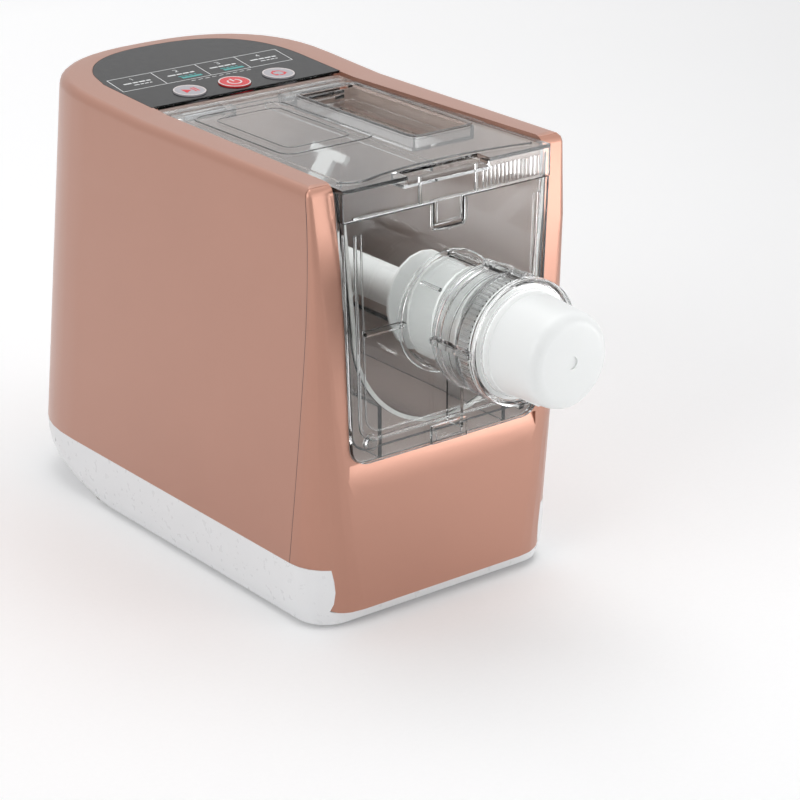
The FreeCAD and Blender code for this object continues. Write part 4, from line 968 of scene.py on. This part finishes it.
    def bars(self, work: Moulding, middle: float, reach: float, depth: float, width: float) -> None:
        """Print a broken bar in place of a word.

        Args:
            work: Mesh that takes it.
            middle: Middle of the bar in millimetres.
            reach: Half of its length.
            depth: Its depth on the panel.
            width: Its width.
        """
        breaks = (-1.0, -0.35, 0.1, 0.62, 1.0)
        for start, end in zip(breaks, breaks[1:]):
            self.line(work, (middle + start * reach + 0.45, depth), (middle + end * reach - 0.45, depth),
                      width)

    def rims(self) -> None:
        """Set a pale rim round the top of each button."""
        inner = self.radius - 0.45
        for name, side in (("left", -self.pitch), ("centre", 0.0), ("right", self.pitch)):
            work = Moulding(f"rim_{name}")
            turns = [math.pi * step / 32 for step in range(64)]
            path = [self.surface(side + inner * math.cos(turn), self.row + inner * math.sin(turn), self.proud)
                    for turn in turns]
            work.bead(path, self.rim_radius, closed=True, flat=0.6)
            work.place(PALE_TRIM, f"button_{name}")

    def pictograms(self) -> None:
        """Print a plain pictogram on each button."""
        row, high, reach = self.row, self.proud, self.mark_reach
        left, middle = Moulding("mark_left"), -self.pitch
        self.area(left, [(middle - 4.6, row - 4.0), (middle + 1.4, row), (middle - 4.6, row + 4.0)], high)
        for shift in (3.0, 5.2):
            self.line(left, (middle + shift, row - 4.0), (middle + shift, row + 4.0), 1.1, high)
        left.place(RED_INK, "button_left")
        centre = Moulding("mark_centre")
        self.arc(centre, (0.0, row), 4.6, 1.2, (125, 415), high)
        self.line(centre, (0.0, row + 0.6), (0.0, row + 6.2), 1.3, high)
        centre.place(WHITE_INK, "button_centre")
        right = Moulding("mark_right")
        for start in (0, 120, 240):
            self.arc(right, (self.pitch, row), reach, 1.3, (start + 10, start + 95), high, 10)
            tip = math.radians(start + 95)
            x, y = math.cos(tip), math.sin(tip)
            edge = (self.pitch + reach * x, row + reach * y)
            self.area(right, [(edge[0] - x * 1.8, edge[1] - y * 1.8), (edge[0] + x * 1.8, edge[1] + y * 1.8),
                              (edge[0] - y * 2.6, edge[1] + x * 2.6)], high)
        right.place(RED_INK, "button_right")

    def build(self) -> None:
        """Smooth the panel's nodes and add print, rims and pictograms."""
        soften(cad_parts["control_panel"], 0.25)
        for name in ("button_left", "button_centre", "button_right"):
            soften(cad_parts[name], 0.3)
        self.cells()
        self.rims()
        self.pictograms()


@dataclass
class MixingBowl:
    """Clear trough with the dark gasket between its flange and the front cover."""

    half_top: float = 79.5
    half_low: float = 73.5
    high: float = 286.0
    low: float = 121.0
    corner: float = 12.0
    depth: float = -6.2
    dark_bead_radius: float = 0.65
    side_steps: int = 8

    def build(self) -> None:
        """Smooth the bowl and lay its gasket."""
        soften(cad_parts["mixing_bowl"], 0.4)
        parts = [step / self.side_steps for step in range(self.side_steps + 1)]
        side = [(self.half_top - (self.half_top - self.half_low) * part,
                 self.high - (self.high - self.low - self.corner) * part) for part in parts]
        work = Moulding("bowl_gasket")
        work.bead(u_path(side, self.corner, self.depth), self.dark_bead_radius, normal=ALONG_Y)
        work.place(SEAL_AND_SEAM_SHADE, "bowl")


@dataclass
class Lid:
    """Clear hinged lid with its ridge, tray rim, ribs and grip bars."""

    top: float = 291.6
    ridge: tuple[Flat, ...] = ((-74.0, 6.0), (-62.0, -1.0), (-40.0, 3.6), (-10.0, 6.6), (28.0, 6.2),
                               (55.0, 2.6), (72.5, -1.3))
    ridge_radius: float = 1.5
    ridge_steps: int = 8
    # Left, right, front, back, corner radius and bead radius of each raised rectangle
    rectangles: tuple[tuple[float, ...], ...] = (
        (22.8, 72.2, 53.8, 182.2, 7.0, 1.4), (-64.0, 6.0, 70.0, 176.0, 9.0, 0.9),
        (-54.0, -4.0, 82.0, 164.0, 7.0, 0.6))
    # Left, right, front, back, bottom, top and draft of the grip's bars and the ledge under it
    blocks: tuple[tuple[float, ...], ...] = (
        (-24.0, -22.0, -11.2, -9.6, 272.5, 289.6, 0.2), (20.0, 22.0, -11.2, -9.6, 272.5, 289.6, 0.2),
        (-74.0, 74.0, -10.9, -9.6, 272.0, 273.4, 0.2))
    strip: tuple[float, ...] = (-73.0, 73.0, 190.5, 196.6, 291.5, 292.4, 0.3)
    tongue: tuple[Flat, ...] = ((-9.6, 272.0), (-9.6, 258.0), (9.6, 258.0), (9.6, 272.0))
    tongue_depth: float = -9.8
    tongue_radius: float = 0.8
    side_ribs: RibRow = RibRow("lid_side_ribs", 43, (77.6, 54.0, 291.75), (-0.055, 3.0, 0.0), (4.2, 1.1, 0.7))
    lip_ribs: RibRow = RibRow("lid_lip_ribs", 15, (27.0, -10.3, 280.0), (3.2, 0.0, 0.0), (0.9, 1.0, 12.0))

    def rectangle(self, left: float, right: float, front: float, back: float, corner: float) -> list[Vector]:
        """Go round a rectangle with round corners on the lid's top, in millimetres.

        Args:
            left: Left side.
            right: Right side.
            front: Front side.
            back: Back side.
            corner: Radius of its corners.

        Returns:
            The points in order.
        """
        spots = []
        corners = ((right - corner, back - corner, 0), (left + corner, back - corner, 90),
                   (left + corner, front + corner, 180), (right - corner, front + corner, 270))
        for x, y, start in corners:
            for step in range(6):
                turn = math.radians(start + 18 * step)
                spots.append(at(x + corner * math.cos(turn), y + corner * math.sin(turn), self.top))
        return spots

    def ridge_path(self) -> list[Vector]:
        """Round the ridge's points into a smooth path on the lid's top.

        Returns:
            The points in order.
        """
        path = []
        padded = [self.ridge[0], *self.ridge, self.ridge[-1]]
        for points in zip(padded, padded[1:], padded[2:], padded[3:]):
            for step in range(self.ridge_steps):
                part = step / self.ridge_steps
                weights = (-part ** 3 + 2 * part ** 2 - part, 3 * part ** 3 - 5 * part ** 2 + 2,
                           -3 * part ** 3 + 4 * part ** 2 + part, part ** 3 - part ** 2)
                blend = [sum(w * point[axis] for w, point in zip(weights, points)) / 2 for axis in (0, 1)]
                path.append(at(*blend, self.top))
        return path + [at(*self.ridge[-1], self.top)]

    def build(self) -> None:
        """Smooth the lid and add its raised details."""
        soften(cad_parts["lid"], 0.5)
        clear = Moulding("lid_mouldings")
        clear.bead(self.ridge_path(), self.ridge_radius, flat=0.7)
        for *sides, radius in self.rectangles:
            clear.bead(self.rectangle(*sides), radius, closed=True, flat=0.6)
        for sizes in self.blocks:
            clear.block(*sizes)
        clear.bead([at(x, self.tongue_depth, z) for x, z in self.tongue], self.tongue_radius, normal=ALONG_Y)
        clear.place(CLEAR_PC, "lid")
        self.side_ribs.build(CLEAR_PC, "lid")
        self.lip_ribs.build(CLEAR_PC, "lid")
        strip = Moulding("lid_rear_strip")
        strip.block(*self.strip)
        strip.place(PALE_PC, "lid")


@dataclass
class FrontCover:
    """Clear front cover with its inner bead, bosses, webs and barrel thread."""

    front: float = -10.0
    barrel: float = 36.5
    side: tuple[Flat, ...] = ((72.4, 262.0), (70.6, 200.0), (69.0, 140.0))
    corner: float = 12.0
    # Inset and radius of each bead that follows the edge
    edge_beads: tuple[Flat, ...] = ((0.0, 1.3), (9.0, 0.7))
    boss_side: float = 61.4
    boss_height: float = 126.5
    boss_radius: float = 4.2
    boss_proud: float = 2.6
    notch: tuple[Flat, ...] = ((13.6, 270.0), (13.6, 256.5), (11.0, 253.2), (0.0, 252.4))
    tab: tuple[Flat, ...] = ((-11.0, 123.0), (-9.6, 115.4), (9.6, 115.4), (11.0, 123.0))
    bead_radius: float = 0.8
    root_radius: float = 1.6
    rib_reach: float = 27.6
    rib_rise: float = 26.6
    rib_radius: float = 1.5
    thread_turns: float = 3.0
    thread_length: float = 24.0
    thread_width: float = 1.5
    thread_height: float = 0.7
    thread_depth: float = -44.0

    def edge_path(self, inset: float) -> list[Vector]:
        """Follow the cover's edge down one side and up the other.

        Args:
            inset: How far inside the edge, in millimetres.

        Returns:
            The points in order.
        """
        last = len(self.side) - 1
        side = [(x - inset / 2, z + (inset / 2 if index == last else 0.0))
                for index, (x, z) in enumerate(self.side)]
        return u_path(side, self.corner, self.front)

    def boss(self, work: Moulding, side: float) -> None:
        """Add a round boss with its axis along Y.

        Args:
            work: Mesh that takes it.
            side: Distance of its axis from the middle, in millimetres.
        """
        back = at(side, self.front + 0.4, self.boss_height)
        front = at(side, self.front - self.boss_proud, self.boss_height)
        work.prism(circle(back, self.boss_radius, 40, upright=True),
                   circle(front, self.boss_radius - 0.6, 40, upright=True))

    def build(self) -> None:
        """Smooth the cover and add its raised details."""
        soften(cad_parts["front_cover"], 0.5)
        work = Moulding("cover_mouldings")
        for inset, radius in self.edge_beads:
            work.bead(self.edge_path(inset), radius, flat=0.8, normal=ALONG_Y)
        for side in (-1, 1):
            self.boss(work, side * self.boss_side)
        for side in (-1, 1):
            work.bead([at(side * x, self.front, z) for x, z in self.notch], self.bead_radius, normal=ALONG_Y)
        root = circle(at(0.0, self.front - 0.2, AXIS), self.barrel + 2.0, 64, upright=True)
        work.bead(root, self.root_radius, closed=True, normal=ALONG_Y)
        rib = [at(-self.rib_reach, depth, AXIS + self.rib_rise) for depth in (-36.0, -18.0)]
        work.bead(rib, self.rib_radius, flat=0.8)
        work.bead([at(x, self.front, z) for x, z in self.tab], self.bead_radius, normal=ALONG_Y)
        work.place(CLEAR_PC, "cover")
        grow(
            "barrel_thread", thread_group(),
            {"Turns": self.thread_turns, "Radius": (self.barrel - 0.1) * MM,
             "Length": self.thread_length * MM, "Width": self.thread_width * MM,
             "Height": self.thread_height * MM, "Centre": at(0.0, self.thread_depth, AXIS)}, CLEAR_PC,
            "cover")


@dataclass
class LockRing:
    """Clear ring nut with bands and grip ribs round its skirt."""

    radius: float = 39.6
    # Depth and half width of each band
    bands: tuple[Flat, ...] = ((-45.5, 1.0), (-66.0, 0.8), (-79.0, 1.1))
    rib_count: int = 72
    rib_depth: float = -72.5
    rib_size: Triple = (0.9, 1.0, 9.0)

    def build(self) -> None:
        """Smooth the ring and add its bands and ribs."""
        soften(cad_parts["lock_ring"], 0.4)
        work = Moulding("ring_bands")
        for depth, half in self.bands:
            work.lathe([(depth - half, self.radius - 0.8), (depth - half / 2, self.radius + 0.6),
                        (depth + half / 2, self.radius + 0.6), (depth + half, self.radius - 0.8)])
        work.place(CLEAR_PC, "ring")
        grow(
            "ring_ribs", nub_ring_group(),
            {"Count": self.rib_count, "Radius": self.radius * MM, "Centre": at(0.0, self.rib_depth, AXIS),
             "Size": Vector(self.rib_size) * MM}, CLEAR_PC, "ring")


@dataclass
class DieHead:
    """White moulded die head with a ring round its back edge."""

    ring_depth: float = -88.0
    ring_radius: float = 32.6
    ring_half: float = 0.8

    def build(self) -> None:
        """Smooth the head and add its ring."""
        soften(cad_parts["die_head"], 0.6)
        work = Moulding("head_rings")
        inner = self.ring_radius - 0.6
        work.lathe([(self.ring_depth - self.ring_half, inner), (self.ring_depth, self.ring_radius + 0.25),
                    (self.ring_depth + self.ring_half, inner)])
        work.place(WHITE_ACETAL, "head")


@dataclass
class Drive:
    """Motor in the base, with the bands seen when the machine is opened."""

    band_inset: float = 6.0
    band_radius: float = 0.7
    band_sink: float = 0.2

    def build(self) -> None:
        """Bind the motor's can near both ends."""
        low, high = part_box("motor_can")
        centre = (low + high) / 2
        radius = (high.z - low.z) / 2 / MM - self.band_sink
        work = Moulding("motor_bands")
        for depth in (low.y + self.band_inset * MM, high.y - self.band_inset * MM):
            path = circle(Vector((centre.x, depth, centre.z)), radius, 64, upright=True)
            work.bead(path, self.band_radius, closed=True, normal=ALONG_Y)
        work.place(STEEL, "machine")


def dress_nodes() -> None:
    """Give every node of the frame its finish, and smooth the ones not yet smoothed."""
    for name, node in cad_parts.items():
        node.data.materials.clear()
        node.data.materials.append(NODE_FINISH[name].build())
        if not node.modifiers:
            soften(node)


@dataclass(frozen=True)
class Lamp:
    """One soft rectangular lamp, with its places and size in metres and its power in watts."""

    name: str
    place: Triple
    aim: Triple
    size: Flat
    power: float

    def build(self) -> None:
        """Hang the lamp and turn it to its aim."""
        data = bpy.data.lights.new(self.name, "AREA")
        data.shape = "RECTANGLE"
        data.size, data.size_y = self.size
        data.energy = self.power
        lamp = bpy.data.objects.new(self.name, data)
        bpy.context.scene.collection.objects.link(lamp)
        lamp.location = self.place
        lamp.rotation_mode = "QUATERNION"
        lamp.rotation_quaternion = (Vector(self.aim) - Vector(self.place)).to_track_quat("-Z", "Y")


@dataclass
class Studio:
    """Pale sweep, soft lamps and the camera at the photograph's angle."""

    azimuth: float = -38.0
    elevation: float = 21.7
    lens: float = 122.56
    spot: Triple = (-1001.2, -1242.8, 771.2)
    floor_half: float = 5.0
    floor_front: float = -4.0
    bend_start: float = 3.0
    bend_radius: float = 1.2
    wall_top: float = 4.0
    fill: float = 0.45
    lamps: tuple[Lamp, ...] = (
        Lamp("top_softbox", (0.2, 0.1, 1.7), (0.0, 0.0, 0.2), (1.4, 1.4), 14.0),
        Lamp("left_softbox", (-1.7, -0.3, 0.9), (0.0, 0.0, 0.15), (1.2, 1.4), 12.0),
        Lamp("front_softbox", (0.9, -1.8, 0.9), (0.0, -0.1, 0.15), (1.0, 1.2), 6.0),
        Lamp("low_right_softbox", (0.62, -0.8, 0.12), (0.0, -0.1, 0.1), (0.4, 0.22), 1.8))

    def camera(self) -> None:
        """Place the camera that frames the machine as the photograph does."""
        data = bpy.data.cameras.new("studio_camera")
        data.lens = self.lens
        data.sensor_width = 36.0
        data.clip_end = 20.0
        camera = bpy.data.objects.new("studio_camera", data)
        bpy.context.scene.collection.objects.link(camera)
        camera.location = (self.spot[0] * MM, self.spot[1] * MM + FRONT, self.spot[2] * MM)
        turn, tilt = math.radians(self.azimuth), math.radians(self.elevation)
        back = Vector((math.sin(turn) * math.cos(tilt), -math.cos(turn) * math.cos(tilt), math.sin(tilt)))
        camera.rotation_mode = "QUATERNION"
        camera.rotation_quaternion = (-back).to_track_quat("-Z", "Y")
        bpy.context.scene.camera = camera

    def seen_plainly(self, tree: bpy.types.NodeTree) -> bpy.types.NodeSocket:
        """Tell rays from the camera, mirrors and clear parts from rays that carry light.

        Args:
            tree: Tree that takes the nodes.

        Returns:
            A socket that is one for the seen rays.
        """
        path = add_node(tree, "ShaderNodeLightPath")
        mirror = add_node(
            tree, "ShaderNodeMath",
            {0: path.outputs["Is Camera Ray"], 1: path.outputs["Is Glossy Ray"]}, operation="MAXIMUM")
        clear = add_node(
            tree, "ShaderNodeMath",
            {0: mirror.outputs[0], 1: path.outputs["Is Transmission Ray"]}, operation="MAXIMUM")
        return clear.outputs[0]

    def floor(self) -> None:
        """Lay a pale seamless floor that curves up far behind the machine."""
        mesh = bpy.data.meshes.new("studio_floor")
        shape = bmesh.new()
        turns = [math.radians(turn) for turn in range(10, 91, 10)]
        rows = [(self.floor_front, 0.0), (self.bend_start, 0.0)]
        bend = self.bend_radius
        rows += [(self.bend_start + math.sin(turn) * bend, bend * (1 - math.cos(turn))) for turn in turns]
        rows.append((self.bend_start + self.bend_radius, self.wall_top))
        made = [[shape.verts.new((x, y, z)) for x in (-self.floor_half, self.floor_half)] for y, z in rows]
        for low, high in zip(made, made[1:]):
            shape.faces.new((low[0], low[1], high[1], high[0]))
        shape.to_mesh(mesh)
        shape.free()
        floor = bpy.data.objects.new("studio_floor", mesh)
        bpy.context.scene.collection.objects.link(floor)
        material, tree, spot = new_material("studio_paper")
        fibre = add_node(tree, "ShaderNodeTexNoise", {"Vector": spot, "Scale": 300.0})
        tone = add_node(
            tree, "ShaderNodeMix",
            {0: fibre.outputs["Fac"], 6: linear("#f1f1f1"), 7: linear("#f4f4f4")}, data_type="RGBA")
        paper = add_node(tree, "ShaderNodeBsdfPrincipled", {"Base Color": tone.outputs[2], "Roughness": 0.9})
        reach = add_node(tree, "ShaderNodeSeparateXYZ", {0: spot})
        lift = add_node(
            tree, "ShaderNodeMapRange",
            {"Value": reach.outputs["Y"], "From Min": 0.0, "From Max": 1.4, "To Min": 0.08, "To Max": 0.4})
        glow = add_node(tree, "ShaderNodeEmission", {"Color": WHITE, "Strength": lift.outputs["Result"]})
        lifted = add_node(tree, "ShaderNodeAddShader", {0: paper.outputs["BSDF"], 1: glow.outputs[0]})
        seen = add_node(
            tree, "ShaderNodeMixShader",
            {0: self.seen_plainly(tree), 1: paper.outputs["BSDF"], 2: lifted.outputs[0]})
        add_node(tree, "ShaderNodeOutputMaterial", {"Surface": seen.outputs[0]})
        mesh.materials.append(material)

    def world(self) -> None:
        """Fill the room with soft even light, and show plain white behind the machine."""
        world = bpy.data.worlds.new("studio_world")
        bpy.context.scene.world = world
        world.use_nodes = True
        tree = world.node_tree
        tree.nodes.clear()
        fill = add_node(tree, "ShaderNodeBackground", {"Color": linear("#f4f4f6"), "Strength": self.fill})
        white = add_node(tree, "ShaderNodeBackground", {"Color": WHITE, "Strength": 1.0})
        mix = add_node(
            tree, "ShaderNodeMixShader",
            {0: self.seen_plainly(tree), 1: fill.outputs[0], 2: white.outputs[0]})
        add_node(tree, "ShaderNodeOutputWorld", {"Surface": mix.outputs[0]})

    def build(self) -> None:
        """Set up the whole studio."""
        bpy.context.scene.view_settings.view_transform = "Standard"
        self.camera()
        self.floor()
        self.world()
        for lamp in self.lamps:
            lamp.build()


def main() -> None:
    """Build every sub-assembly."""
    logging.basicConfig(level=logging.INFO)
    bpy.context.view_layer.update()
    parts = (Housing(), ControlPanel(), MixingBowl(), Lid(), FrontCover(), LockRing(), DieHead(), Drive())
    for part in parts:
        part.build()
        LOG.info("%s built", type(part).__name__)
    dress_nodes()
    Studio().build()


if __name__ == "__main__":
    main()
